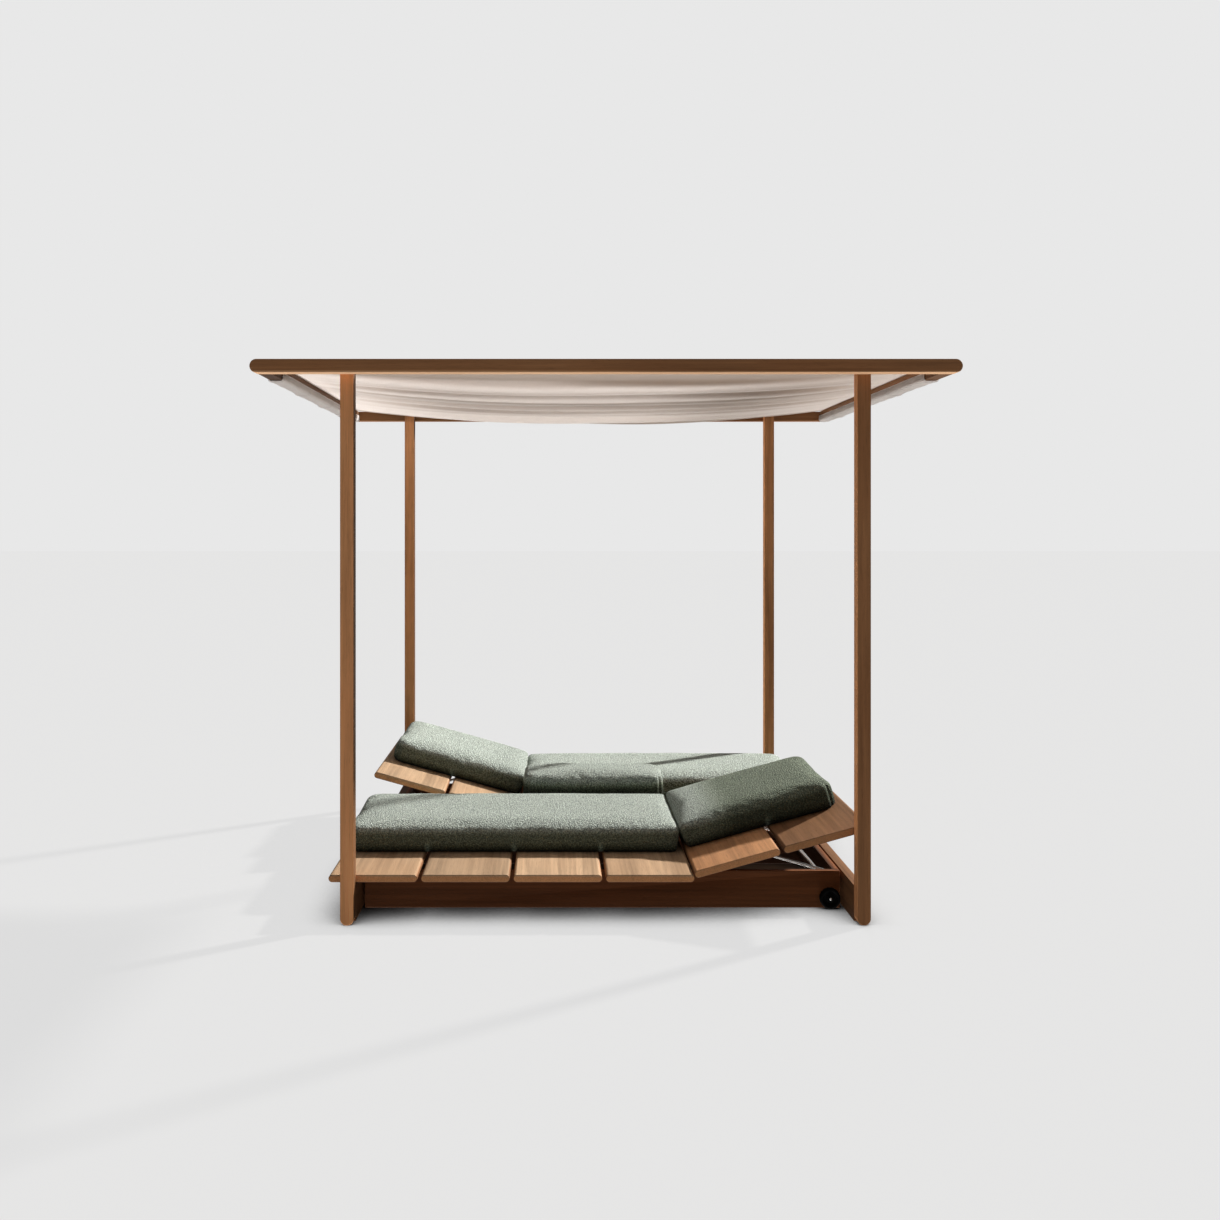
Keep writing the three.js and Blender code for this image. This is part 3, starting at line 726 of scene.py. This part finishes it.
class DAYBED_OT_beams(Operator):
    """Build the roof beams, the top rails and the floor rails"""

    bl_idname = "daybed.beams"
    bl_label = "Beams and rails"

    def execute(self, context):
        for end in ENDS:
            low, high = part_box(f"beam_{end}")
            boxed_timber(f"beam_{end}", "teak", "X", (high.z - low.z) / 2 - TINY, 16)
        for side, _ in SIDES:
            boxed_timber(f"top_rail_{side}", "teak", "Y")
            boxed_timber(f"floor_rail_{side}", "teak", "Y")
        return {"FINISHED"}


class DAYBED_OT_bases(Operator):
    """Build the base boxes of both loungers"""

    bl_idname = "daybed.bases"
    bl_label = "Lounger bases"

    def execute(self, context):
        for lounger in LOUNGERS:
            for side, _ in LOUNGER_SIDES:
                boxed_timber(f"{lounger}_bed_rail_{side}", "teak_dark", "X")
            for end in ("foot", "head"):
                boxed_timber(f"{lounger}_bed_{end}_board", "teak_dark", "Y")
        return {"FINISHED"}


class DAYBED_OT_slats(Operator):
    """Build the fixed slats and the slats of the tilting backs"""

    bl_idname = "daybed.slats"
    bl_label = "Slats"

    def execute(self, context):
        radius = (SLAT_TOP - SLAT_UNDER) / 2 - TINY
        for lounger in LOUNGERS:
            for kind, count, start, body, place in (
                    ("seat", 4, FOOT_X, "frame", lounger_place(lounger)),
                    ("back", 2, BACK_X, f"{lounger}_back", tilted_place(lounger))):
                for i in range(count):
                    x0 = start + i * SLAT_PITCH
                    corners = rectangle(x0, SLAT_UNDER, x0 + SLAT_SPAN, SLAT_TOP)
                    timber(f"{lounger}_{kind}_slat_{i + 1}",
                           rounded_outline(corners, radius, 10), -SLAT_HALF_LENGTH,
                           SLAT_HALF_LENGTH, "teak", body, "Y", place)
        return {"FINISHED"}


class DAYBED_OT_back_bars(Operator):
    """Build the side bars of the tilting backs"""

    bl_idname = "daybed.back_bars"
    bl_label = "Back bars"

    def execute(self, context):
        hinge_x, _, hinge_z = HINGE
        nose, neck, top = 0.024, 0.111, 0.1414
        shoulder, tip, slant = 0.364, 0.858, 0.030
        angle = np.linspace(np.arcsin((neck - hinge_z) / nose), 1.5 * np.pi, 40)
        round_nose = np.stack([hinge_x + nose * np.cos(angle),
                               hinge_z + nose * np.sin(angle)], 1)
        under = hinge_z - nose
        outline = np.concatenate([
            [(tip, top), (shoulder, top), (shoulder, neck)], round_nose,
            [(tip - slant, under), (tip, under + slant)]])
        inner, outer = 0.249, 0.273
        for lounger in LOUNGERS:
            for side, sign in LOUNGER_SIDES:
                timber(f"{lounger}_back_bar_{side}", outline,
                       *sorted((sign * inner, sign * outer)), "teak_dark",
                       f"{lounger}_back", "X", tilted_place(lounger))
        return {"FINISHED"}


# Metal and wheels


def prop_path(leg, length):
    """The centreline of a wire prop, drawn with its pins on the Y axis and its legs
    along -X: two feet, two legs and a cross rod, with every bend an arc. The last corner
    only closes the outline."""
    bend, steps = 0.012, 8
    corners = np.array([(0, -ROD_REACH), (0, -leg), (-length, -leg), (-length, leg),
                        (0, leg), (0, ROD_REACH), (length, 0)])
    closed = rounded_outline(corners, [TINY, bend, bend, bend, bend, TINY, TINY], steps)
    inner = closed.reshape(len(corners), steps + 1, 2)[1:5].reshape(-1, 2)
    feet = corners[[0, 5]]
    near = feet * 0.97 + inner[[0, -1]] * 0.03
    flat = np.concatenate([feet[:1], near[:1], inner, near[1:], feet[1:]])
    return np.column_stack([flat, np.zeros(len(flat))])


class DAYBED_OT_props(Operator):
    """Build the wire props that hold the backs up"""

    bl_idname = "daybed.props"
    bl_label = "Wire props"

    def execute(self, context):
        for lounger in LOUNGERS:
            for name, size in PROPS.items():
                points, faces = tube(prop_path(size["leg"], size["length"]), ROD_RADIUS)
                place = (lounger_place(lounger) @ Matrix.Translation((PIN_X, 0, size["pin"]))
                         @ Matrix.Rotation(size["slope"], 4, "Y"))
                piece = build_mesh(f"wire_{lounger}_{name}", moved(points, place), faces)
                settle(piece, "steel", [f"{lounger}_{name}"], f"{lounger}_{name}_body")
        return {"FINISHED"}


class DAYBED_OT_rods(Operator):
    """Build the hinge rods and the wheel axles"""

    bl_idname = "daybed.rods"
    bl_label = "Hinge rods and axles"

    def execute(self, context):
        # Half the axle's profile: the rod and the domed head outside the wheel
        rod, head, reach, collar, tip = 0.005, 0.0062, 0.3253, 0.3256, 0.3303
        dome = np.linspace(0, np.pi / 2, 8)[:-1]
        cap = np.stack([head * np.cos(dome), collar + (tip - collar) * np.sin(dome)], 1)
        half = np.concatenate([[(rod, 0.0), (rod, reach), (head, reach)], cap,
                               [(TINY, tip)]])
        axle = np.concatenate([half, half[::-1] * (1, -1)])[:-1]
        ease = 0.0008
        end = np.array([(TINY, ROD_REACH), (ROD_RADIUS - ease, ROD_REACH),
                        (ROD_RADIUS, ROD_REACH - ease)])
        hinge_rod = np.concatenate([end * (1, -1), end[::-1]])
        for lounger in LOUNGERS:
            for node, profile, middle in (("hinge_rod", hinge_rod, HINGE),
                                          ("axle", axle, (AXLE_X, 0, AXLE_Z))):
                points, faces = lathe(profile[::-1], middle, 32)
                points = moved(points, lounger_place(lounger))
                piece = build_mesh(f"metal_{lounger}_{node}", points, faces)
                settle(piece, "steel", [f"{lounger}_{node}"], "frame")
        return {"FINISHED"}


class DAYBED_OT_wheels(Operator):
    """Build the four small wheels"""

    bl_idname = "daybed.wheels"
    bl_label = "Wheels"

    def execute(self, context):
        # Half a wheel's profile: the hub, the sunk disc, the rim and the rounded tread
        turn = np.linspace(0, np.pi / 2, 7)
        tread = np.stack([0.034 + 0.005 * np.sin(turn), 0.007 + 0.005 * np.cos(turn)], 1)
        half = np.concatenate([
            [(0.0054, 0.0118), (0.0125, 0.0118), (0.0135, 0.0108), (0.0145, 0.0085),
             (0.0165, 0.0078), (0.0265, 0.0078), (0.0280, 0.0085), (0.0290, 0.0108),
             (0.0300, 0.0118)], tread])
        profile = np.concatenate([half, half[::-1] * (1, -1)])
        for lounger in LOUNGERS:
            for side, sign in LOUNGER_SIDES:
                node = f"{lounger}_wheel_{side}"
                points, faces = lathe(profile, (AXLE_X, sign * WHEEL_MIDDLE, AXLE_Z), 64)
                points = moved(points, lounger_place(lounger))
                piece = build_mesh("rubber_" + node, points, faces)
                settle(piece, "rubber", [node], node + "_body")
        return {"FINISHED"}


# Cloth


def fold_drift(x, deep):
    """How far a place lies behind the front hem, as the wandering folds count it."""
    return deep + 0.022 * np.sin(2.1 * x + 0.6) + 0.010 * np.sin(5.3 * x)


def canopy_height(x, deep, inner, top, sag):
    """Height of the cloth: top - bowl * (sag - lift - waves), where the bowl is
    1 - (|x| / inner) ** 2.4 and the waves and thin folds run from rail to rail."""
    across = np.minimum(1, np.abs(x) / inner)
    drift = fold_drift(x, deep)
    lift = 0.034 * bell(deep, 0.240)
    wave = 0.009 * np.sin(2 * np.pi * drift / 0.410)
    ripple = 0.004 * np.sin(2 * np.pi * drift / 0.173 + across)
    folds = 0
    for at, depth, width, lean, _, _ in FOLDS:
        past = drift - at - lean * x
        swell = 0.75 + 0.25 * np.sin(3.1 * x + 9 * at)
        folds -= depth * swell * np.tanh(past / width) * bell(past, 4.2 * width)
    return top - (1 - across ** 2.4) * (sag - lift - wave - ripple - folds)


def canopy_creases(x, deep):
    """The painted shade along each fold: strength * (0.85 + 0.15 * sine) * bell."""
    return sum(strength * bell(fold_drift(x, deep) - at - lean * x, width)
               * (0.85 + 0.15 * np.sin(3.1 * x + 9 * at))
               for at, _, _, lean, strength, width in FOLDS)


def canopy_doubling_and_shade(x, deep, hem, inner):
    """How much the cloth keeps light back and how much painted shade it carries: doubled in
    the hems and over the rails, with painted shade in a wide strip behind the front hem,
    fading from the front towards the middle, in a band before the middle and towards the right."""
    band = smooth_step(deep, 0.64, 0.70) * (1 - smooth_step(deep, 0.90, 0.98))
    return ((hem < HEM_WIDTH) * 1.0 + (np.abs(x) > inner - 0.014)
            + (1 - smooth_step(deep, 0.17, 0.23))
            + 0.20 * (1 - smooth_step(deep, 0.30, 0.75)) + 0.30 * band
            + 0.38 * smooth_step(x, 0.10, 0.85))


def running_length(points, axis):
    """How far each point of a grid is from its edge, measured along the surface."""
    step = np.linalg.norm(np.diff(points, axis=axis), axis=2)
    start = np.zeros_like(step.take([0], axis=axis))
    return np.concatenate([start, np.cumsum(step, axis=axis)], axis)


def cloth_piece(name, node, grid, turned, attributes):
    """A cloth from a grid of points, thickened about its middle, and its flat size: the
    lengths along the surface, which are its UV map too."""
    rows, columns = grid.shape[:2]
    index = np.arange(rows * columns).reshape(rows, columns)
    quads = np.stack([index[:-1, :-1], index[:-1, 1:], index[1:, 1:], index[1:, :-1]],
                     2).reshape(-1, 4)
    wide, deep = running_length(grid, 1), running_length(grid, 0)
    values = {key: np.broadcast_to(np.clip(value, 0, 1), (rows, columns)).ravel()
              for key, value in attributes.items()}
    piece = build_mesh(name, grid.reshape(-1, 3), [quads[:, ::-1 if turned else 1]], values,
                       np.stack([wide, deep], 2).reshape(-1, 2), SMOOTH)
    shell = piece.modifiers.new("thickness", "SOLIDIFY")
    shell.thickness = bpy.context.scene.daybed_sizes.cloth_thickness
    shell.offset = 0
    settle(piece, "canvas", [node], "frame")
    return piece, (float(wide[:, -1].mean()), float(deep[-1].mean()))


class DAYBED_OT_canopy(Operator):
    """Build the canopy cloth that hangs between the two top rails"""

    bl_idname = "daybed.canopy"
    bl_label = "Canopy cloth"

    def execute(self, context):
        sizes = context.scene.daybed_sizes
        low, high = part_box("canopy_sheet")
        rail_low, rail_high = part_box("top_rail_right")
        inner = rail_low.x
        columns, rows = 185, 261
        x, y = np.meshgrid(np.linspace(low.x, high.x, columns),
                           np.linspace(low.y, high.y, rows))
        deep = y - low.y
        clear = 0.0003
        top = rail_high.z + clear + sizes.cloth_thickness / 2
        z = canopy_height(x, deep, inner, top, sizes.cloth_sag)
        hem = np.minimum(deep, high.y - y)
        hem_step = 1 - smooth_step(np.abs(hem - HEM_WIDTH), 0.0, 0.006)
        z += 0.0012 * hem_step * (np.abs(x) < inner)
        seam = (bell(hem - (HEM_WIDTH - 0.003), 0.0035)
                + bell(np.abs(x) - inner + 0.012, 0.0035)
                + bell(np.abs(x) - PANEL_SEAM_X, 0.004) * 0.5)
        off_rail = 1 - (np.abs(x) / inner).clip(0, 1) ** 6
        # The attributes carry the doubling of the cloth, its painted shade and the painted shade
        # along its folds
        piece, flat = cloth_piece(
            "cloth_canopy", "canopy_sheet", np.stack([x, y, z], 2), False,
            {"layers": canopy_doubling_and_shade(x, deep, hem, inner),
             "crease": canopy_creases(x, deep) * off_rail, "seam": seam})
        return {"FINISHED"}


def straight(start, end, steps):
    """The points between two ends, without the ends."""
    return start + (end - start) * np.linspace(0, 1, steps + 1)[1:-1, None]


def sleeve_path(inner, outer, under, top):
    """A sleeve's section: down the rail's outer face, round two bends below it and up a
    little on its inner face. The last corner only closes the outline."""
    bend, steps = 0.010, 6
    corners = np.array([(outer, top), (outer, under), (inner, under), (inner, under + 0.030),
                        (inner - 1, under + 1)])
    closed = rounded_outline(corners, [TINY, bend, bend, TINY, TINY], steps)
    _, first, second, _, _ = closed.reshape(len(corners), steps + 1, 2)
    return np.concatenate([
        corners[:1], straight(corners[0], first[0], 9), first,
        straight(first[-1], second[0], 9), second,
        straight(second[-1], corners[3], 5), corners[3:4]])


class DAYBED_OT_sleeves(Operator):
    """Build the cloth sleeves that wrap the top rails"""

    bl_idname = "daybed.sleeves"
    bl_label = "Rail sleeves"

    def execute(self, context):
        thickness = context.scene.daybed_sizes.cloth_thickness
        for side, sign in SIDES:
            node = f"canopy_sleeve_{side}"
            low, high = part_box(node)
            rail_low, rail_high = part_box(f"top_rail_{side}")
            gap = 0.0021 + thickness / 2
            inner, outer = sorted((abs(rail_low.x), abs(rail_high.x)))
            path = sleeve_path(inner - gap, outer + gap, rail_low.z - gap,
                               rail_high.z - 0.0006)
            along = np.linspace(low.y, high.y, 420)[:, None]
            ahead = np.gradient(path, axis=0)
            normal = unit(np.stack([-ahead[:, 1], ahead[:, 0]], 1))
            run = running_length(path[None], 1)
            tabs = sum(bell(along - at, 0.0050)
                       for start in TAB_STARTS for at in (start, start + TAB_WIDTH))
            puff = 1 + np.sin(31 * along + 40 * run) * np.sin(17 * along - 22 * run)
            out = (0.0012 * puff + 0.0034 * tabs) * (1 - bell(run, 0.02))
            x = (path[:, 0] + normal[:, 0] * out) * sign
            z = path[:, 1] + normal[:, 1] * out
            edge = bell(run[0, -1] - run - 0.008, 0.002)
            hem = np.minimum(along - low.y, high.y - along)
            piece, flat = cloth_piece(
                f"cloth_sleeve_{side}", node,
                np.stack([x, np.broadcast_to(along, x.shape), z], 2), sign > 0,
                {"lined": 0.2, "seam": tabs * 0.9 + edge + bell(hem - 0.012, 0.002)})
        return {"FINISHED"}


# Cushions


def cushion_points(size, seed, spacing):
    """A boxed cushion from a lattice's skin. Near an edge a point p becomes
    c + r * e / |e|, with c the nearest point of the inner box, r the edge radii and e
    the tangent-spaced offset, so every edge is an arc. Seen from above a corner's squares
    of offset q become circles by q * max(q) / |q|. The sides pull in between the
    corners, and the end at the fold leans out towards the neighbouring cushion. Beside
    the points goes a level of painted light, low, so painted shade, on the lower walls,
    and lower still on all walls where a shaded wall is asked for."""
    edge, fold = size["edge"], size["fold"]
    half = np.array([size["x1"] - size["x0"], size["width"], size["height"]]) / 2
    counts = np.maximum(np.round(2 * half / spacing).astype(int), 12)
    share, quads = box_shell(tuple(counts))
    point = share * half
    closing = smooth_step(share[:, 0] * np.sign(fold), 0.6, 0.97) * (fold != 0)
    round_z = np.where(share[:, 2] > 0, edge * (1 - 0.25 * closing), edge * 0.4)
    radii = np.stack([edge * (1 - 0.40 * closing), np.full(len(share), edge), round_z], 1)
    core = np.clip(point, radii - half, half - radii)
    lean = np.tan(np.clip((point - core) / radii, -1, 1) * np.pi / 4)
    length = np.linalg.norm(lean, axis=1, keepdims=True)
    point = core + radii * lean / np.maximum(length, SMALLEST)
    turn = (size["corner"] * (1 - 0.75 * closing))[:, None]
    past = np.maximum(np.abs(point[:, :2]) - half[:2] + turn, 0)
    length = np.maximum(np.linalg.norm(past, axis=1, keepdims=True), SMALLEST)
    kept = np.where(past.min(1, keepdims=True) > 0, past.max(1, keepdims=True) / length, 1)
    point[:, :2] -= np.sign(point[:, :2]) * past * (1 - kept)
    run, side, up = (point / half).T
    at_side = np.sign(side) * smooth_step(np.abs(side), 0.8, 1.0)
    at_end = np.sign(run) * smooth_step(np.abs(run), 0.93, 1.0)
    bulge = (1 - up ** 2) * 0.0035
    point[:, 1] *= 1 - size["draw"] / half[1] * (1 - run ** 2) * (1 - 0.6 * np.abs(up))
    point[:, 1] += bulge * at_side
    point[:, 0] += bulge * at_end
    reach = smooth_step(run * np.sign(fold), 0.90, 1.0) * smooth_step(up, -0.6, 0.6)
    point[:, 0] += fold * reach * (1 - 0.35 * side ** 4)
    soft = ripples(point * 34, 5, seed) * 0.0013 + ripples(point * 150, 7, seed + 1) * 0.0004
    soft *= smooth_step(up, -0.95, -0.4)
    point[:, 2] += soft * smooth_step(up, 0.2, 0.9)
    point[:, 1] += soft * at_side
    # Painted light on the top, painted shade down the walls, darkest at the bottom
    nap = 0.04 + 0.38 * smooth_step(up, -0.95, -0.10) + 0.58 * smooth_step(up, 0.30, 0.86)
    nap -= 0.32 * size["shaded_wall"] * (1 - smooth_step(up, 0.2, 0.7))
    middle = ((size["x0"] + size["x1"]) / 2, size["middle"], half[2])
    return point + middle, quads, np.maximum(nap, 0.03)


def swollen(points, faces, pressure):
    """The points of a cover after a cloth simulation has blown it up with its underside
    held. A point moves by most * tanh(length / most) along its own way."""
    low, high = points.min(0), points.max(0)
    piece = build_mesh("cover", points, faces, sharp=SMOOTH)
    held = piece.vertex_groups.new(name="underside")
    held.add(np.nonzero(points[:, 2] < low[2] + 0.012)[0].tolist(), 1.0, "REPLACE")
    cloth = piece.modifiers.new("cover", "CLOTH").settings
    for setting, value in (
            ("quality", 5), ("mass", 0.35), ("tension_stiffness", 28),
            ("compression_stiffness", 22), ("shear_stiffness", 12),
            ("bending_stiffness", 1.2), ("air_damping", 4), ("use_pressure", True),
            ("uniform_pressure_force", pressure), ("vertex_group_mass", held.name)):
        setattr(cloth, setting, value)
    cloth.effector_weights.gravity = 0
    scene = bpy.context.scene
    for moment in range(1, 21):
        scene.frame_set(moment)
    shown = piece.evaluated_get(bpy.context.evaluated_depsgraph_get()).data
    blown = np.empty(len(points) * 3, np.float32)
    shown.vertices.foreach_get("co", blown)
    motion = blown.reshape(-1, 3) - points
    length = np.linalg.norm(motion, axis=1, keepdims=True)
    most = 0.024
    motion *= most * np.tanh(length / most) / np.maximum(length, SMALLEST)
    bpy.data.meshes.remove(piece.data)
    scene.frame_set(1)
    return points + motion


def cushion(name, node, place, size, body=None, seed=1):
    """One cushion with its finish. Its size may also say how much painted shade lies on it
    past the shadow's edge, painted light where that is negative, and how much painted light makes
    its top lighter."""
    sizes = bpy.context.scene.daybed_sizes
    size = {"edge": sizes.cushion_edge, "corner": 0.060, "fold": 0.0, "shaded_wall": 0.0,
            "shaded": 0.0, "painted_top_light": 0.0, "pressure": 0.6, **size}
    points, faces, nap = cushion_points(size, seed, sizes.cushion_spacing)
    # Painted shade past the shadow's edge and painted light on the top
    in_shadow = smooth_step(points[:, 0], 0.43, 0.60)
    nap = nap * (1 - size["shaded"] * in_shadow)
    nap += size["painted_top_light"] * smooth_step(nap, 0.6, 1.0)
    points = swollen(points, faces, size["pressure"])
    points[:, 2] += SLAT_TOP + 0.0004
    piece = build_mesh(name, moved(points, place), faces, {"nap": nap}, sharp=SMOOTH)
    finer = piece.modifiers.new("finer", "SUBSURF")
    finer.levels = finer.render_levels = 1
    settle(piece, "boucle", [node], body)
    return piece


class DAYBED_OT_cushions(Operator):
    """Build the seat and back cushions of both loungers"""

    bl_idname = "daybed.cushions"
    bl_label = "Seat and back cushions"

    def execute(self, context):
        # The last two numbers paint shade on the back cushion past the shadow's edge, light where
        # negative, and paint light on the seat's top
        for lounger, middle, foot, head, shaded, painted_top_light in (
                ("front", 0.131, -1.012, 0.984, 0.52, 0.0),
                ("rear", -0.131, -0.998, 0.990, -0.15, 0.22)):
            place = lounger_place(lounger)
            shared = {"width": 0.580, "height": 0.103, "middle": middle, "draw": 0.003}
            seat = {**shared, "x0": foot, "x1": 0.304, "fold": 0.010, "painted_top_light": painted_top_light}
            cushion(f"cushion_{lounger}_seat", f"{lounger}_seat_cushion", place, seat,
                    "frame", 11)
            back = {**shared, "x0": 0.364, "x1": head, "fold": -0.0135, "shaded": shaded}
            piece = cushion(f"cushion_{lounger}_back", f"{lounger}_back_cushion",
                            tilted_place(lounger), back, None, 23)
            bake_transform(piece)
        return {"FINISHED"}


class DAYBED_OT_bolster(Operator):
    """Build the bolster on the bare slats of the rear lounger"""

    bl_idname = "daybed.bolster"
    bl_label = "Bolster"

    def execute(self, context):
        low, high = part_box("bolster_cushion")
        middle = (low + high) / 2
        # The shaded wall paints shade on the bolster's walls
        size = {"x0": -0.315, "x1": 0.315, "width": 0.275, "height": 0.172, "middle": 0.0,
                "draw": 0.002, "edge": 0.024, "corner": 0.050, "pressure": 0.45,
                "shaded_wall": 1.0}
        cushion("cushion_bolster", "bolster_cushion",
                Matrix.Translation((middle.x, middle.y, 0)), size, "frame", 37)
        return {"FINISHED"}


# Stage


class DAYBED_OT_stage(Operator):
    """Set up the floor, the light, the world and the camera"""

    bl_idname = "daybed.stage"
    bl_label = "Stage"

    def execute(self, context):
        scene = context.scene
        colour = tuple(scene.daybed_colours.backdrop)
        self.add_floor(colour)
        self.add_light()
        self.add_world(scene, colour)
        self.add_camera(scene)
        scene.view_settings.view_transform = "Standard"
        return {"FINISHED"}

    def seen_directly(self, paint, mirror):
        """One for a ray from the eye, the share called mirror for a reflected one."""
        path = paint.tree.nodes.new("ShaderNodeLightPath")
        eye, glossy = (Socket(paint, path.outputs[name]) for name in (
            "Is Camera Ray", "Is Glossy Ray"))
        return eye.math("MAXIMUM", glossy * mirror)

    def add_floor(self, colour):
        """A floor that glows in the backdrop's colour for the eye, with painted shade near the
        object and painted brown shade under the loungers, and is dull for the light."""
        paint = Paint(bpy.data.materials.new("stage_floor"), colour)
        dark = paint.node("BsdfDiffuse", None, {"Color": (0.12, 0.115, 0.11, 1)})
        pale = paint.node("BsdfDiffuse", None, {"Color": paint.rgba(0.07)})
        near = paint.node("AmbientOcclusion", {"samples": 8}, {"Distance": 0.26}, "AO")
        x, y = (paint.part(paint.place(), axis).math("ABSOLUTE") for axis in "XY")
        across = (y - LOUNGERS["rear"][1]).math("ABSOLUTE")
        # Painted shade: the floor is drawn brown and dark under the loungers and darker near the
        # object
        under_lounger_shade = x.band(0.925, 0.912) * across.band(0.300, 0.292)
        tint = paint.mix(under_lounger_shade, colour, (0.62, 0.34, 0.20))
        level = near.band(0.14, 0.88) * (1.0 - under_lounger_shade * 0.93) * 0.88
        glow = paint.node("Emission", None, {"Color": paint.scaled(tint, level), "Strength": 1.0})
        seen = paint.node("AddShader", None, {0: pale, 1: glow})
        share = self.seen_directly(paint, 0.6)
        paint.finish(paint.node("MixShader", None, {0: share, 1: dark, 2: seen}))
        reach, drop = 60.0, 0.0004
        corners = np.array([(-1, -1, 0), (1, -1, 0), (1, 1, 0), (-1, 1, 0)]) * reach
        floor = build_mesh("floor", corners - (0, 0, drop), [[[0, 1, 2, 3]]])
        floor.data.materials.append(paint.owner)
        floor.visible_shadow = False

    def add_light(self):
        """A low soft sun from behind on the right, and the light that a pale floor
        throws back up."""
        for name, energy, angle, toward, colour in (
                ("low_sun", 7.3, 0.055, (0.72, 0.465, 0.515), (1.0, 0.97, 0.935)),
                ("floor_bounce", 3.1, 0.5, (0.0, -0.06, -0.99), (1.0, 0.985, 0.97))):
            light = bpy.data.lights.new(name, "SUN")
            light.energy = energy
            light.angle = angle
            light.color = colour
            made = bpy.data.objects.new(name, light)
            made.rotation_euler = Vector(toward).to_track_quat("Z", "Y").to_euler()
            bpy.context.scene.collection.objects.link(made)

    def add_world(self, scene, colour):
        """The backdrop's colour for the eye and a weak, warm fill for the light."""
        paint = Paint(bpy.data.worlds.new("studio"), colour)
        fill = paint.node("Background", None, {"Color": (1.0, 0.98, 0.95, 1), "Strength": 0.20})
        back = paint.node("Background", None, {"Color": paint.rgba(colour), "Strength": 1.0})
        share = self.seen_directly(paint, 0.25)
        scene.world = paint.finish(paint.node("MixShader", None, {0: share, 1: fill, 2: back}))

    def add_camera(self, scene):
        lens = bpy.data.cameras.new("photo view")
        lens.sensor_width = 36.0
        lens.lens = 34.08
        lens.shift_x = 0.0471
        lens.shift_y = -0.0696
        lens.clip_end = 200.0
        camera = bpy.data.objects.new("photo_view", lens)
        camera.location = (-0.1945, -5.1925, 1.4705)
        camera.rotation_euler = (np.pi / 2, 0, 0)
        scene.collection.objects.link(camera)
        scene.camera = camera


# Add-on

STEPS = (DAYBED_OT_cushions, DAYBED_OT_bolster, DAYBED_OT_posts, DAYBED_OT_beams,
         DAYBED_OT_bases, DAYBED_OT_slats, DAYBED_OT_back_bars, DAYBED_OT_rods,
         DAYBED_OT_props, DAYBED_OT_wheels, DAYBED_OT_canopy, DAYBED_OT_sleeves,
         DAYBED_OT_stage)


class DAYBED_PT_panel(Panel):
    """Lists the daybed's steps and settings"""

    bl_label = "Daybed"
    bl_space_type = "VIEW_3D"
    bl_region_type = "UI"
    bl_category = "Daybed"

    def draw(self, context):
        for step in STEPS:
            self.layout.operator(step.bl_idname)
        for group in (context.scene.daybed_sizes, context.scene.daybed_colours):
            for name in group.__annotations__:
                self.layout.prop(group, name)


CLASSES = (DaybedSizes, DaybedColours, *STEPS, DAYBED_PT_panel)


def register():
    for each in CLASSES:
        bpy.utils.register_class(each)
    bpy.types.Scene.daybed_sizes = PointerProperty(type=DaybedSizes)
    bpy.types.Scene.daybed_colours = PointerProperty(type=DaybedColours)


def unregister():
    del bpy.types.Scene.daybed_colours
    del bpy.types.Scene.daybed_sizes
    for each in reversed(CLASSES):
        bpy.utils.unregister_class(each)


def main():
    register()
    for step in STEPS:
        area, name = step.bl_idname.split(".")
        getattr(getattr(bpy.ops, area), name)()


if __name__ == "__main__":
    main()
